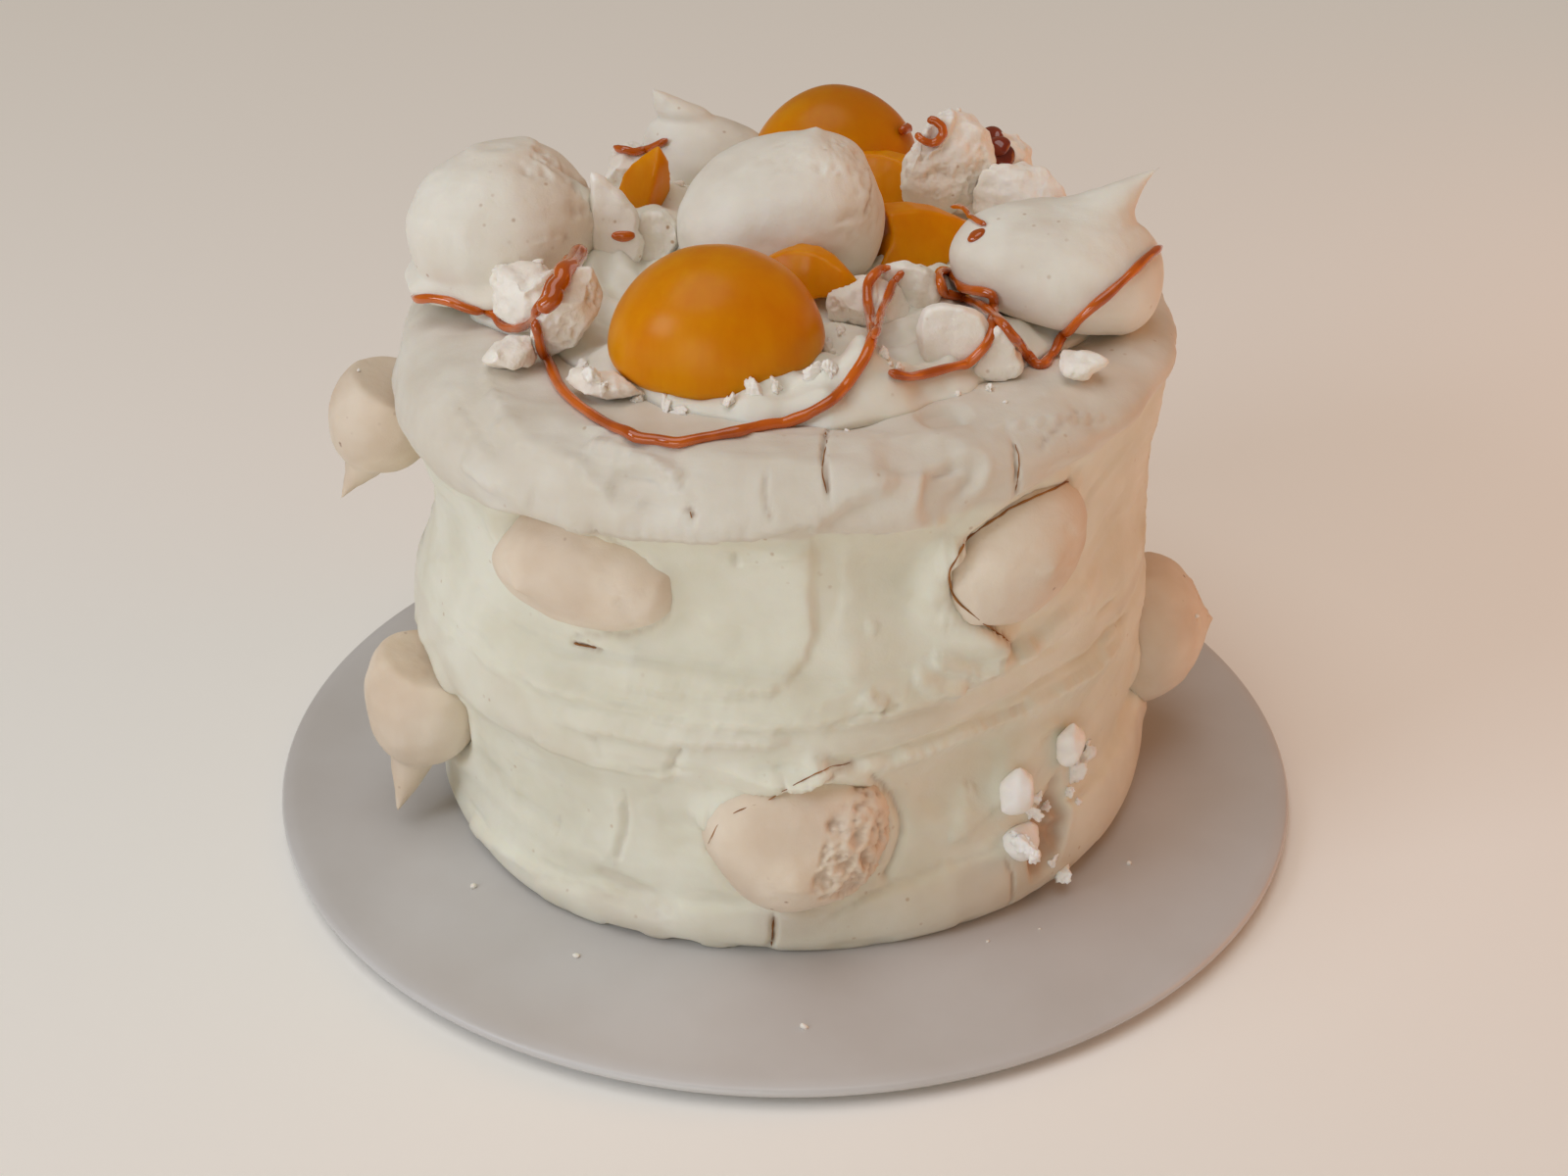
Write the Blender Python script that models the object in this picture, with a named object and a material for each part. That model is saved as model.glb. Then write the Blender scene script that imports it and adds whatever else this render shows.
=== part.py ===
"""A tall meringue layer cake on a flat round plate.

Three baked meringue discs lie with whipped cream between them and smeared over the side. Piped meringue
kisses are pressed into the side, and the top carries a bed of cream with kisses, broken meringue, peach
halves and slices, and a thick caramel drizzle. Metres, +Z up, the plate stands on z = 0 and its middle is
the origin. The front of the cake looks along -Y.
"""

import math

import bmesh
import bpy
from mathutils import Matrix, Vector, noise
from mathutils.bvhtree import BVHTree

# Plate
PLATE_RADIUS = 0.160
PLATE_EDGE_HEIGHT = 0.0068
PLATE_FLOOR = 0.0055
PLATE_BASE_RADIUS = 0.138
PLATE_SEGMENTS = 48

# Cake stack
CAKE_MIDDLE = Vector((0.001, 0.005))
CAKE_TOP = 0.158
CAKE_SEGMENTS = 48
GAP = 0.0003
POCKET_GAP = 0.0004

# Caramel drizzle
DRIZZLE_RADIUS = 0.0014
DRIZZLE_SIDES = 5
DRIZZLE_STEP = 0.0055
DRIZZLE_SINK = 0.25
DRIZZLE_CLEARANCE = 0.0006

# Linear colours, roughness
MERINGUE = ((0.76, 0.70, 0.60), 0.62)
TOASTED_MERINGUE = ((0.72, 0.60, 0.47), 0.60)
CREAM = ((0.82, 0.80, 0.70), 0.38)
PEACH = ((0.80, 0.30, 0.008), 0.16)
GLAZED_CERAMIC = ((0.62, 0.60, 0.59), 0.22)

# Each layer: lowest and highest z at the middle, how much those faces rise along +X, radius of its side,
# how far the layer has slid along X, and its side from bottom to top as (inset from the radius, share of height)
LAYERS = {
    "base_disc": {
        "low": (PLATE_FLOOR + GAP, 0.0),
        "high": (0.0245, 0.11),
        "radius": 0.1125,
        "slid": 0.001,
        "side": ((0.004, 0.0), (0.0006, 0.16), (0.0, 0.5), (0.0012, 0.84), (0.0045, 1.0)),
        "waves": 0.0009,
        "finish": MERINGUE,
    },
    "cream_lower": {
        "low": (0.0245, 0.11),
        "high": (0.0685, 0.13),
        "radius": 0.1095,
        "slid": -0.001,
        "side": ((0.0015, 0.0), (0.0005, 0.25), (0.0022, 0.5), (0.0016, 0.75), (0.0, 1.0)),
        "waves": 0.0016,
        "finish": CREAM,
    },
    "middle_disc": {
        "low": (0.0685, 0.13),
        "high": (0.0840, 0.06),
        "radius": 0.1115,
        "slid": -0.004,
        "side": ((0.003, 0.0), (0.0, 0.22), (0.0004, 0.7), (0.003, 1.0)),
        "waves": 0.0010,
        "finish": MERINGUE,
    },
    "cream_upper": {
        "low": (0.0840, 0.06),
        "high": (0.1365, 0.10),
        "radius": 0.1095,
        "slid": -0.002,
        "side": ((0.0, 0.0), (0.0018, 0.18), (0.0032, 0.42), (0.0030, 0.66), (0.0008, 0.88), (0.0012, 1.0)),
        "waves": 0.0018,
        "finish": CREAM,
    },
    "top_disc": {
        "low": (0.1365, 0.10),
        "high": (CAKE_TOP, 0.0),
        "radius": 0.1145,
        "slid": -0.0030,
        "side": (
            (0.0055, 0.0),
            (0.0010, 0.20),
            (0.0, 0.42),
            (0.0020, 0.66),
            (0.0062, 0.86),
            (0.0140, 1.0),
        ),
        "waves": 0.0010,
        "finish": MERINGUE,
    },
}

# Broad strokes of the palette knife in the side cream: azimuth from the front in degrees, height, half length
# and half width along the stroke, its slope in degrees, and how deep it is pressed
KNIFE_STROKES = (
    (-8, 0.104, 0.030, 0.012, 12, 0.0030),
    (14, 0.110, 0.016, 0.015, -30, 0.0022),
    (-50, 0.094, 0.030, 0.009, -8, 0.0022),
    (-34, 0.052, 0.026, 0.012, 10, 0.0024),
    (24, 0.056, 0.024, 0.013, 8, 0.0028),
    (62, 0.106, 0.030, 0.013, 5, 0.0024),
    (96, 0.060, 0.032, 0.012, -6, 0.0024),
    (128, 0.100, 0.034, 0.012, 8, 0.0026),
    (160, 0.050, 0.030, 0.013, -5, 0.0024),
    (196, 0.108, 0.032, 0.012, 6, 0.0026),
    (232, 0.054, 0.030, 0.012, -8, 0.0024),
    (262, 0.096, 0.026, 0.011, 5, 0.0022),
)

# Kisses in the side: azimuth from the front, height of the middle, size along, across and out of the foot,
# turn about the way out, the tip's lean along and across, and how far the foot is sunk
SIDE_KISSES = {
    "side_kiss_front_left": (-31, 0.118, 0.056, 0.034, 0.027, -6, (-0.42, -0.24), 0.016),
    "side_kiss_front_right": (32.5, 0.121, 0.047, 0.038, 0.025, 28, (0.10, 0.10), 0.014),
    "side_kiss_front_low": (1.5, 0.0445, 0.050, 0.045, 0.031, 20, (-0.10, -0.20), 0.014),
    "side_kiss_right_low": (90, 0.046, 0.052, 0.046, 0.034, -12, (0.10, 0.12), 0.009),
    "side_kiss_right_back_high": (110, 0.112, 0.048, 0.040, 0.030, 15, (0.20, -0.12), 0.014),
    "side_kiss_back_right_low": (134, 0.050, 0.050, 0.038, 0.029, -20, (-0.25, 0.10), 0.014),
    "side_kiss_back_high": (166, 0.116, 0.046, 0.040, 0.030, 10, (0.15, 0.10), 0.014),
    "side_kiss_back_left_low": (199, 0.046, 0.050, 0.041, 0.030, 25, (0.22, -0.10), 0.014),
    "side_kiss_left_back_high": (230, 0.110, 0.048, 0.038, 0.029, -15, (-0.20, -0.15), 0.014),
}

# Kisses that lie along the side with the tip down: azimuth, height and distance out of the foot's middle,
# size across, deep and tall, the tip's lean towards the front, and the tip's tilt outwards in degrees
HANGING_KISSES = {
    "side_kiss_left_low": (-70, 0.0565, 0.1135, 0.043, 0.036, 0.047, 0.45, 14),
    "side_kiss_left_high": (-92, 0.1270, 0.1180, 0.040, 0.034, 0.040, 0.45, 22),
}

# Kisses on top: foot's middle, size along X, Y and Z, share of the height that is tip, the tip's width as a
# share of the kiss, the tip's lean, how far the foot spreads, and the kiss's tilt about X, Y and Z in degrees
TOP_KISSES = {
    "top_kiss_left": ((-0.081, 0.008, 0.1620), (0.056, 0.052, 0.0385), 0.03, 0.30, (0.10, 0.10), 0.10, (0, -3, 0)),
    "top_kiss_middle": ((-0.002, 0.009, 0.1640), (0.061, 0.054, 0.0400), 0.05, 0.26, (0.30, 0.20), 0.0, (0, 0, 0)),
    "top_kiss_right": ((0.0720, -0.013, 0.1625), (0.058, 0.050, 0.0430), 0.32, 0.28, (0.72, 0.26), 0.0, (0, 13, 4)),
    "top_kiss_back_left": ((-0.026, 0.086, 0.1600), (0.042, 0.034, 0.0345), 0.20, 0.36, (-0.85, -0.06), 0.0, (0, 0, 0)),
}

# Peach halves: middle of the cut face, size along X, Y and Z, and the tilt about X, Y and Z in degrees
PEACH_HALVES = {
    "peach_front": ((-0.0190, -0.051, 0.1640), (0.058, 0.050, 0.0280), (10, -3, 0)),
    "peach_back": ((0.0135, 0.084, 0.1660), (0.055, 0.046, 0.0290), (-6, 12, 0)),
}

# Peach slices: middle, length, depth and thickness, and the turns about X, Y and Z in degrees
PEACH_SLICES = {
    "peach_slice_right": ((0.0310, 0.014, 0.1700), (0.052, 0.030, 0.016), (28, -8, 20)),
    "peach_slice_left": ((-0.0450, 0.056, 0.1690), (0.034, 0.018, 0.016), (0, -74, 12)),
    "peach_slice_middle": ((0.0030, -0.0205, 0.1735), (0.034, 0.020, 0.013), (34, -6, -18)),
    "peach_slice_back": ((0.0330, 0.058, 0.1710), (0.040, 0.024, 0.018), (30, 30, -30)),
}

# Broken meringue: middle, size, turns about X, Y and Z in degrees, seed of its break, and how much it narrows
# towards the top
MERINGUE_PIECES = {
    "piece_left_a": ((-0.0710, -0.024, 0.1680), (0.024, 0.024, 0.020), (10, 15, 20), 1, 0.0),
    "piece_left_b": ((-0.0590, -0.043, 0.1710), (0.022, 0.015, 0.029), (24, 14, 58), 2, 0.2),
    "piece_left_c": ((-0.0730, -0.050, 0.1630), (0.017, 0.014, 0.010), (0, 0, 30), 14, 0.0),
    "piece_tall": ((-0.0545, 0.006, 0.1750), (0.024, 0.011, 0.036), (-6, -6, 12), 3, 0.8),
    "piece_crumbly": ((-0.0385, 0.015, 0.1710), (0.020, 0.016, 0.021), (0, 20, 40), 4, 0.0),
    "piece_back_left": ((-0.0500, 0.083, 0.1690), (0.028, 0.022, 0.020), (0, 0, 30), 5, 0.0),
    "piece_back_right": ((0.0460, 0.052, 0.1810), (0.025, 0.022, 0.034), (-14, 22, 0), 6, -0.25),
    "piece_block": ((0.0670, 0.046, 0.1730), (0.034, 0.022, 0.021), (0, 4, -8), 7, 0.0),
    "piece_behind_block": ((0.0660, 0.078, 0.1720), (0.023, 0.020, 0.024), (0, 0, 24), 8, 0.0),
    "piece_right_a": ((0.0210, -0.026, 0.1670), (0.026, 0.022, 0.018), (10, 6, 10), 9, 0.0),
    "piece_right_b": ((0.0330, -0.013, 0.1655), (0.021, 0.018, 0.020), (0, 10, 30), 15, 0.0),
    "piece_right_c": ((0.0425, -0.042, 0.1660), (0.021, 0.018, 0.016), (24, 6, 20), 10, 0.0),
    "piece_right_d": ((0.0570, -0.043, 0.1650), (0.031, 0.023, 0.013), (0, -6, 30), 11, 0.0),
    "piece_small_right": ((0.0765, -0.054, 0.1625), (0.014, 0.011, 0.0085), (0, 0, -20), 12, 0.0),
    "piece_front_left": ((-0.0480, -0.066, 0.1610), (0.024, 0.012, 0.0075), (0, 10, -12), 13, 0.0),
}

# Crumbs of meringue stuck low in the cream on the right: azimuth from the front, height, size, seed
SIDE_PIECES = {
    "side_piece_right_a": (35.5, 0.046, (0.012, 0.010, 0.018), 21),
    "side_piece_right_b": (37.0, 0.028, (0.013, 0.011, 0.013), 22),
    "side_piece_right_c": (47.0, 0.053, (0.010, 0.008, 0.016), 23),
}

# The bed of whipped cream on top: how far it reaches at each azimuth from the front, in degrees
CREAM_BED_REACH = (
    (-180, 0.082),
    (-130, 0.088),
    (-95, 0.098),
    (-60, 0.080),
    (-36, 0.082),
    (-14, 0.090),
    (6, 0.092),
    (20, 0.088),
    (38, 0.078),
    (62, 0.084),
    (85, 0.094),
    (115, 0.088),
    (140, 0.086),
)
CREAM_BED_HEIGHT = 0.0075
CREAM_BED_SEGMENTS = 36
CREAM_BED_RINGS = (1.0, 0.97, 0.86, 0.60)

# The drizzle's strands seen from above, in metres; each falls onto whatever lies under it
DRIZZLE_STRANDS = (
    ((-0.107, -0.008), (-0.098, -0.016), (-0.088, -0.024), (-0.079, -0.034), (-0.069, -0.032), (-0.062, -0.016)),
    (
        (-0.068, -0.040),
        (-0.064, -0.056),
        (-0.058, -0.072),
        (-0.048, -0.086),
        (-0.028, -0.0975),
        (-0.010, -0.094),
        (0.008, -0.088),
        (0.019, -0.074),
        (0.024, -0.052),
        (0.022, -0.030),
        (0.027, -0.014),
    ),
    ((0.025, -0.050), (0.030, -0.032), (0.033, -0.012)),
    (
        (0.026, -0.066),
        (0.036, -0.067),
        (0.047, -0.062),
        (0.056, -0.048),
        (0.057, -0.034),
        (0.046, -0.030),
        (0.042, -0.020),
        (0.040, -0.032),
        (0.050, -0.040),
        (0.060, -0.052),
        (0.066, -0.065),
        (0.071, -0.060),
        (0.080, -0.048),
        (0.092, -0.032),
        (0.100, -0.014),
    ),
    ((-0.060, 0.086), (-0.052, 0.078), (-0.044, 0.082), (-0.038, 0.088)),
    ((0.037, 0.040), (0.044, 0.044), (0.049, 0.052), (0.044, 0.058), (0.038, 0.052)),
    ((0.062, 0.070), (0.068, 0.078), (0.075, 0.074), (0.078, 0.066)),
)


def clear_scene():
    for old in list(bpy.data.objects):
        bpy.data.objects.remove(old)


def material(name, finish):
    found = bpy.data.materials.get(name)
    if found:
        return found
    colour, roughness = finish
    made = bpy.data.materials.new(name)
    made.use_nodes = True
    shader = made.node_tree.nodes["Principled BSDF"]
    shader.inputs["Base Color"].default_value = (*colour, 1.0)
    shader.inputs["Roughness"].default_value = roughness
    shader.inputs["Metallic"].default_value = 0.0
    return made


def add_object(name, bm, finish):
    """Turns a bmesh into a named object with its own material."""
    bmesh.ops.triangulate(bm, faces=bm.faces)
    bmesh.ops.recalc_face_normals(bm, faces=bm.faces)
    mesh = bpy.data.meshes.new(name)
    bm.to_mesh(mesh)
    bm.free()
    made = bpy.data.objects.new(name, mesh)
    bpy.context.scene.collection.objects.link(made)
    mesh.materials.append(material(name, finish))
    mesh.shade_smooth()
    mesh.set_sharp_from_angle(angle=math.radians(35))
    return made


def ring_stack(bm, rings):
    """Bridges loops of the same number of points and closes both ends with a face."""
    loops = [[bm.verts.new(point) for point in ring] for ring in rings]
    count = len(loops[0])
    for lower, upper in zip(loops, loops[1:]):
        for i in range(count):
            j = (i + 1) % count
            bm.faces.new((lower[i], lower[j], upper[j], upper[i]))
    bm.faces.new(list(reversed(loops[0])))
    bm.faces.new(loops[-1])


def azimuth_point(azimuth, radius, middle=CAKE_MIDDLE):
    """A point in plan at an azimuth in radians, counted from the front towards +X."""
    return Vector((middle.x + radius * math.sin(azimuth), middle.y - radius * math.cos(azimuth)))


def turned(angles):
    """Rotation about X, then Y, then Z, from degrees."""
    x, y, z = (math.radians(angle) for angle in angles)
    return Matrix.Rotation(z, 4, "Z") @ Matrix.Rotation(y, 4, "Y") @ Matrix.Rotation(x, 4, "X")


def wrapped(angle):
    """The same angle between minus and plus half a turn."""
    return (angle + math.pi) % (2 * math.pi) - math.pi


def build_plate():
    """A flat plate whose edge rises a little and is rounded."""
    profile = (
        (PLATE_BASE_RADIUS, 0.0),
        (0.153, 0.0012),
        (0.1588, 0.0030),
        (PLATE_RADIUS, 0.0049),
        (0.1590, 0.0064),
        (0.1562, PLATE_EDGE_HEIGHT),
        (0.1480, 0.0061),
        (0.1360, PLATE_FLOOR),
    )
    rings = []
    for radius, height in profile:
        angles = [2 * math.pi * i / PLATE_SEGMENTS for i in range(PLATE_SEGMENTS)]
        rings.append([(radius * math.cos(a), radius * math.sin(a), height) for a in angles])
    bm = bmesh.new()
    ring_stack(bm, rings)
    return add_object("plate", bm, GLAZED_CERAMIC)


def knife_relief(azimuth, height):
    """How far the knife has pressed the side cream in at this place."""
    pressed = 0.0
    for at, level, half_length, half_width, slope, depth in KNIFE_STROKES:
        along = wrapped(azimuth - math.radians(at)) * LAYERS["cream_upper"]["radius"]
        up = height - level
        tilt = math.radians(slope)
        u = (along * math.cos(tilt) + up * math.sin(tilt)) / half_length
        v = (up * math.cos(tilt) - along * math.sin(tilt)) / half_width
        pressed += depth * math.exp(-(u**4) - v * v)
    return pressed


def side_waves(azimuth, height, size):
    """Low unevenness of a spread or piped side."""
    place = Vector((1.6 * math.sin(azimuth), 1.6 * math.cos(azimuth), height * 32))
    return size * noise.noise(place) * 2.2


def build_layer(name, shape):
    """One layer of the stack, cut by the two sloping planes that part it from its neighbours."""
    low_z, low_slope = shape["low"]
    high_z, high_slope = shape["high"]
    lift = 0.0 if name == "base_disc" else GAP / 2
    drop = 0.0 if name == "top_disc" else GAP / 2
    rings = []
    for inset, share in shape["side"]:
        ring = []
        for i in range(CAKE_SEGMENTS):
            azimuth = 2 * math.pi * i / CAKE_SEGMENTS
            radius = shape["radius"] - inset
            x = radius * math.sin(azimuth) + shape["slid"]
            bottom = low_z + low_slope * x + lift
            top = high_z + high_slope * x - drop
            height = bottom + share * (top - bottom)
            radius += side_waves(azimuth, height, shape["waves"])
            if shape["finish"] is CREAM:
                radius -= knife_relief(azimuth, height)
            place = azimuth_point(azimuth, radius)
            x = place.x + shape["slid"]
            bottom = low_z + low_slope * x + lift
            top = high_z + high_slope * x - drop
            ring.append((x, place.y, bottom + share * (top - bottom)))
        rings.append(ring)
    bm = bmesh.new()
    ring_stack(bm, rings)
    return add_object(name, bm, shape["finish"])


def kiss_bmesh(size, tip_share, lean, around=12, seed=0.0, tip_width=0.20, spread=0.0):
    """A piped meringue kiss on the XY plane: flat foot, round belly and a pulled tip that leans."""
    along, across, tall = size
    body = tall * (1 - tip_share)
    belly_start, belly_end, belly_steps = math.radians(-32), math.radians(66), 5
    outline = []
    if spread:
        outline += [(0.86 + spread, 0.0), (0.93 + spread, 0.05 * tall), (0.88 + spread, 0.11 * tall)]
    for step in range(belly_steps):
        angle = belly_start + (belly_end - belly_start) * step / (belly_steps - 1)
        rise = (math.sin(angle) - math.sin(belly_start)) / (1 - math.sin(belly_start))
        if not spread or rise * body > 0.16 * tall:
            outline.append((math.cos(angle), rise * body))
    outline.append((tip_width, body + 0.10 * (tall - body)))
    outline.append((0.40 * tip_width, body + 0.62 * (tall - body)))
    rings = []
    for share, height in outline:
        shift = (height / tall) ** 3
        ring = []
        for i in range(around):
            angle = 2 * math.pi * i / around
            wobble = 1 + 0.035 * math.sin(2 * angle + seed) + 0.025 * math.sin(3 * angle + 5 * height / tall + 2 * seed)
            ring.append(
                (
                    share * wobble * along / 2 * math.cos(angle) + lean[0] * along / 2 * shift,
                    share * wobble * across / 2 * math.sin(angle) + lean[1] * across / 2 * shift,
                    height,
                )
            )
        rings.append(ring)
    bm = bmesh.new()
    ring_stack(bm, rings)
    top_face = max(bm.faces, key=lambda face: face.calc_center_median().z)
    crown = bmesh.ops.poke(bm, faces=[top_face])["verts"][0]
    crown.co = Vector((lean[0] * along / 2 * 1.12, lean[1] * across / 2 * 1.12, tall))
    return bm


def build_side_kiss(name, spec, seed):
    """A kiss pressed foot first into the side."""
    azimuth, height, along, across, out, turn, lean, sunk = spec
    azimuth = math.radians(azimuth)
    bm = kiss_bmesh((along, across, out), 0.16, lean, 12, seed)
    outward = Vector((math.sin(azimuth), -math.cos(azimuth), 0))
    sideways = Vector((math.cos(azimuth), math.sin(azimuth), 0))
    frame = Matrix((sideways, Vector((0, 0, 1)), outward)).transposed().to_4x4()
    foot = azimuth_point(azimuth, LAYERS["cream_upper"]["radius"] - sunk)
    place = Matrix.Translation((foot.x, foot.y, height))
    bm.transform(place @ frame @ Matrix.Rotation(math.radians(turn), 4, "Z"))
    return add_object(name, bm, TOASTED_MERINGUE)


def build_hanging_kiss(name, spec, seed):
    """A kiss that lies along the side, foot up and tip down."""
    azimuth, height, out, across, deep, tall, forward, tilt = spec
    azimuth = math.radians(azimuth)
    bm = kiss_bmesh((across, deep, tall), 0.30, (forward, 0.25), 12, seed, 0.34)
    outward = Vector((math.sin(azimuth), -math.cos(azimuth), 0))
    down = Vector((0, 0, -1))
    sideways = outward.cross(down)
    frame = Matrix((sideways, outward, down)).transposed().to_4x4()
    foot = azimuth_point(azimuth, out)
    lean_out = Matrix.Rotation(-math.radians(tilt), 4, "X")
    bm.transform(Matrix.Translation((foot.x, foot.y, height)) @ frame @ lean_out)
    return add_object(name, bm, TOASTED_MERINGUE)


def build_top_kiss(name, spec, seed):
    foot, size, tip_share, tip_width, lean, spread, angles = spec
    bm = kiss_bmesh(size, tip_share, lean, 16, seed, tip_width, spread)
    bm.transform(Matrix.Translation(foot) @ turned(angles))
    return add_object(name, rested(bm), MERINGUE)


def build_peach_half(name, spec):
    """A tinned peach half, cut face down: a dome with a rounded rim and a shallow crease."""
    middle, size, angles = spec
    around, steps = 18, 5
    rings = [[(0.46 * size[0] * math.cos(a), 0.46 * size[1] * math.sin(a), 0.0) for a in angle_steps(around)]]
    for step in range(steps):
        rise = math.radians(6 + 70 * step / (steps - 1))
        ring = []
        for a in angle_steps(around):
            crease = 1 - 0.03 * math.exp(-((wrapped(a - math.pi / 2) / 0.35) ** 2))
            reach = math.cos(rise) ** 0.88 * crease
            ring.append((0.5 * size[0] * reach * math.cos(a), 0.5 * size[1] * reach * math.sin(a), size[2] * math.sin(rise)))
        rings.append(ring)
    bm = bmesh.new()
    ring_stack(bm, rings)
    top_face = max(bm.faces, key=lambda face: face.calc_center_median().z)
    crown = bmesh.ops.poke(bm, faces=[top_face])["verts"][0]
    crown.co.z = size[2]
    bm.transform(Matrix.Translation(middle) @ turned(angles))
    return add_object(name, rested(bm), PEACH)


def angle_steps(count):
    return [2 * math.pi * i / count for i in range(count)]


def build_peach_slice(name, spec):
    """A wedge of peach: a crescent with a rounded skin side and two flat cut faces that meet in an edge."""
    middle, (length, depth, thickness), angles = spec
    stations, skin_steps = 9, 5
    bm = bmesh.new()
    rings = []
    for station in range(1, stations - 1):
        share = station / (stations - 1)
        swell = math.sin(math.pi * share) ** 0.72
        x = (share - 0.5) * length
        bend = -0.20 * depth * (2 * share - 1) ** 2
        ring = [(x, bend - 0.42 * depth * swell, 0.0)]
        for step in range(skin_steps):
            angle = math.radians(-64 + 128 * step / (skin_steps - 1))
            y = bend + depth * swell * (0.58 * math.cos(angle) - 0.10)
            ring.append((x, y, 0.56 * thickness * swell * math.sin(angle)))
        rings.append(ring)
    ring_stack(bm, rings)
    bm.faces.ensure_lookup_table()
    for end, sign in ((0, -1), (-1, 1)):
        target = sorted(bm.faces, key=lambda face: face.calc_center_median().x)[end]
        tip = bmesh.ops.poke(bm, faces=[target])["verts"][0]
        tip.co.x = sign * length / 2
    bm.transform(Matrix.Translation(middle) @ turned(angles))
    return add_object(name, rested(bm), PEACH)


def piece_bmesh(size, seed, narrowing=0.0):
    """A broken lump of meringue: a rounded crust on one side and craggy breaks on the others."""
    bm = bmesh.new()
    bmesh.ops.create_icosphere(bm, subdivisions=2 if max(size) > 0.0315 else 1, radius=0.5)
    for vert in bm.verts:
        vert.co *= 1 + 0.26 * noise.noise(vert.co * 2.1 + Vector((seed * 3.1, 0, 0)))
    for cut in range(3):
        facing = Vector(
            (
                math.sin(seed * 1.7 + cut * 2.4),
                math.cos(seed * 2.3 + cut * 1.9),
                0.5 * math.sin(seed + cut * 2.1),
            )
        ).normalized()
        split = bmesh.ops.bisect_plane(
            bm,
            geom=[*bm.verts, *bm.edges, *bm.faces],
            plane_co=facing * 0.33,
            plane_no=facing,
            clear_outer=True,
        )
        rim = [item for item in split["geom_cut"] if isinstance(item, bmesh.types.BMEdge)]
        bmesh.ops.edgeloop_fill(bm, edges=rim)
    bmesh.ops.triangulate(bm, faces=[face for face in bm.faces if len(face.verts) > 4])
    bmesh.ops.dissolve_degenerate(bm, dist=0.02, edges=bm.edges)
    bmesh.ops.triangulate(bm, faces=bm.faces)
    lows = Vector([min(vert.co[k] for vert in bm.verts) for k in range(3)])
    highs = Vector([max(vert.co[k] for vert in bm.verts) for k in range(3)])
    for vert in bm.verts:
        for k in range(3):
            vert.co[k] = ((vert.co[k] - lows[k]) / (highs[k] - lows[k]) - 0.5) * size[k]
        width = 1 - narrowing * (0.5 + vert.co.z / size[2])
        vert.co.x *= width
        vert.co.y *= width
    return bm


def rested(bm):
    """Cuts a topping flat where it would sink into the top disc."""
    split = bmesh.ops.bisect_plane(
        bm,
        geom=[*bm.verts, *bm.edges, *bm.faces],
        dist=1e-5,
        plane_co=(0, 0, CAKE_TOP + GAP),
        plane_no=(0, 0, -1),
        clear_outer=True,
    )
    rim = [item for item in split["geom_cut"] if isinstance(item, bmesh.types.BMEdge)]
    if rim:
        bmesh.ops.edgeloop_fill(bm, edges=rim)
    return bm


def build_piece(name, spec):
    middle, size, angles, seed, narrowing = spec
    bm = piece_bmesh(size, seed, narrowing)
    bm.transform(Matrix.Translation(middle) @ turned(angles))
    return add_object(name, rested(bm), MERINGUE)


def build_side_piece(name, spec):
    azimuth, height, size, seed = spec
    bm = piece_bmesh(size, seed)
    place = azimuth_point(math.radians(azimuth), LAYERS["cream_lower"]["radius"])
    turn = Matrix.Rotation(math.radians(azimuth), 4, "Z")
    bm.transform(Matrix.Translation((place.x, place.y, height)) @ turn)
    return add_object(name, bm, MERINGUE)


def bed_reach(azimuth):
    """How far the bed of cream reaches, read smoothly between the named azimuths."""
    degrees = math.degrees(wrapped(azimuth))
    marks = [*CREAM_BED_REACH, (CREAM_BED_REACH[0][0] + 360, CREAM_BED_REACH[0][1])]
    for (start, near), (end, far) in zip(marks, marks[1:]):
        if start <= degrees <= end:
            share = (degrees - start) / (end - start)
            return near + (far - near) * share * share * (3 - 2 * share)
    return marks[0][1]


def build_cream_bed():
    """Whipped cream spooned over the top, low at its rim and folded."""
    rings = []
    floor = CAKE_TOP + GAP
    for level in (0.0, *range(1, len(CREAM_BED_RINGS))):
        share = CREAM_BED_RINGS[int(level)]
        ring = []
        for i in range(CREAM_BED_SEGMENTS):
            azimuth = 2 * math.pi * i / CREAM_BED_SEGMENTS
            reach = bed_reach(azimuth)
            fold = 1 + 0.05 * math.sin(9 * azimuth + 1.0) + 0.04 * math.sin(14 * azimuth)
            place = azimuth_point(azimuth, reach * share * (fold if share > 0.6 else 1.0))
            swell = 0.0 if level == 0 else (1 - share**6) ** 0.5
            lump = 1 + 0.30 * noise.noise(Vector((place.x * 60, place.y * 60, 0.7)))
            ring.append((place.x, place.y, floor + CREAM_BED_HEIGHT * swell * lump))
        rings.append(ring)
    bm = bmesh.new()
    ring_stack(bm, rings)
    return add_object("cream_bed", bm, CREAM)


def inflated(source, by):
    """A hidden cutter: a copy of the object whose every face is moved out by at least the gap."""
    mesh = source.data.copy()
    bm = bmesh.new()
    bm.from_mesh(mesh)
    bm.normal_update()
    moves = []
    for vert in bm.verts:
        least = min(vert.normal.dot(face.normal) for face in vert.link_faces)
        moves.append(vert.normal * by / max(least, 0.3))
    for vert, move in zip(bm.verts, moves):
        vert.co += move
    bm.to_mesh(mesh)
    bm.free()
    cutter = bpy.data.objects.new("cutter_" + source.name, mesh)
    bpy.context.scene.collection.objects.link(cutter)
    cutter.hide_render = True
    cutter.display_type = "WIRE"
    return cutter


def boxes_meet(a, b, margin):
    lows_a, highs_a = corners(a)
    lows_b, highs_b = corners(b)
    return all(lows_a[k] - margin < highs_b[k] and lows_b[k] - margin < highs_a[k] for k in range(3))


def corners(obj):
    points = [vert.co for vert in obj.data.vertices]
    return [min(p[k] for p in points) for k in range(3)], [max(p[k] for p in points) for k in range(3)]


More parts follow.
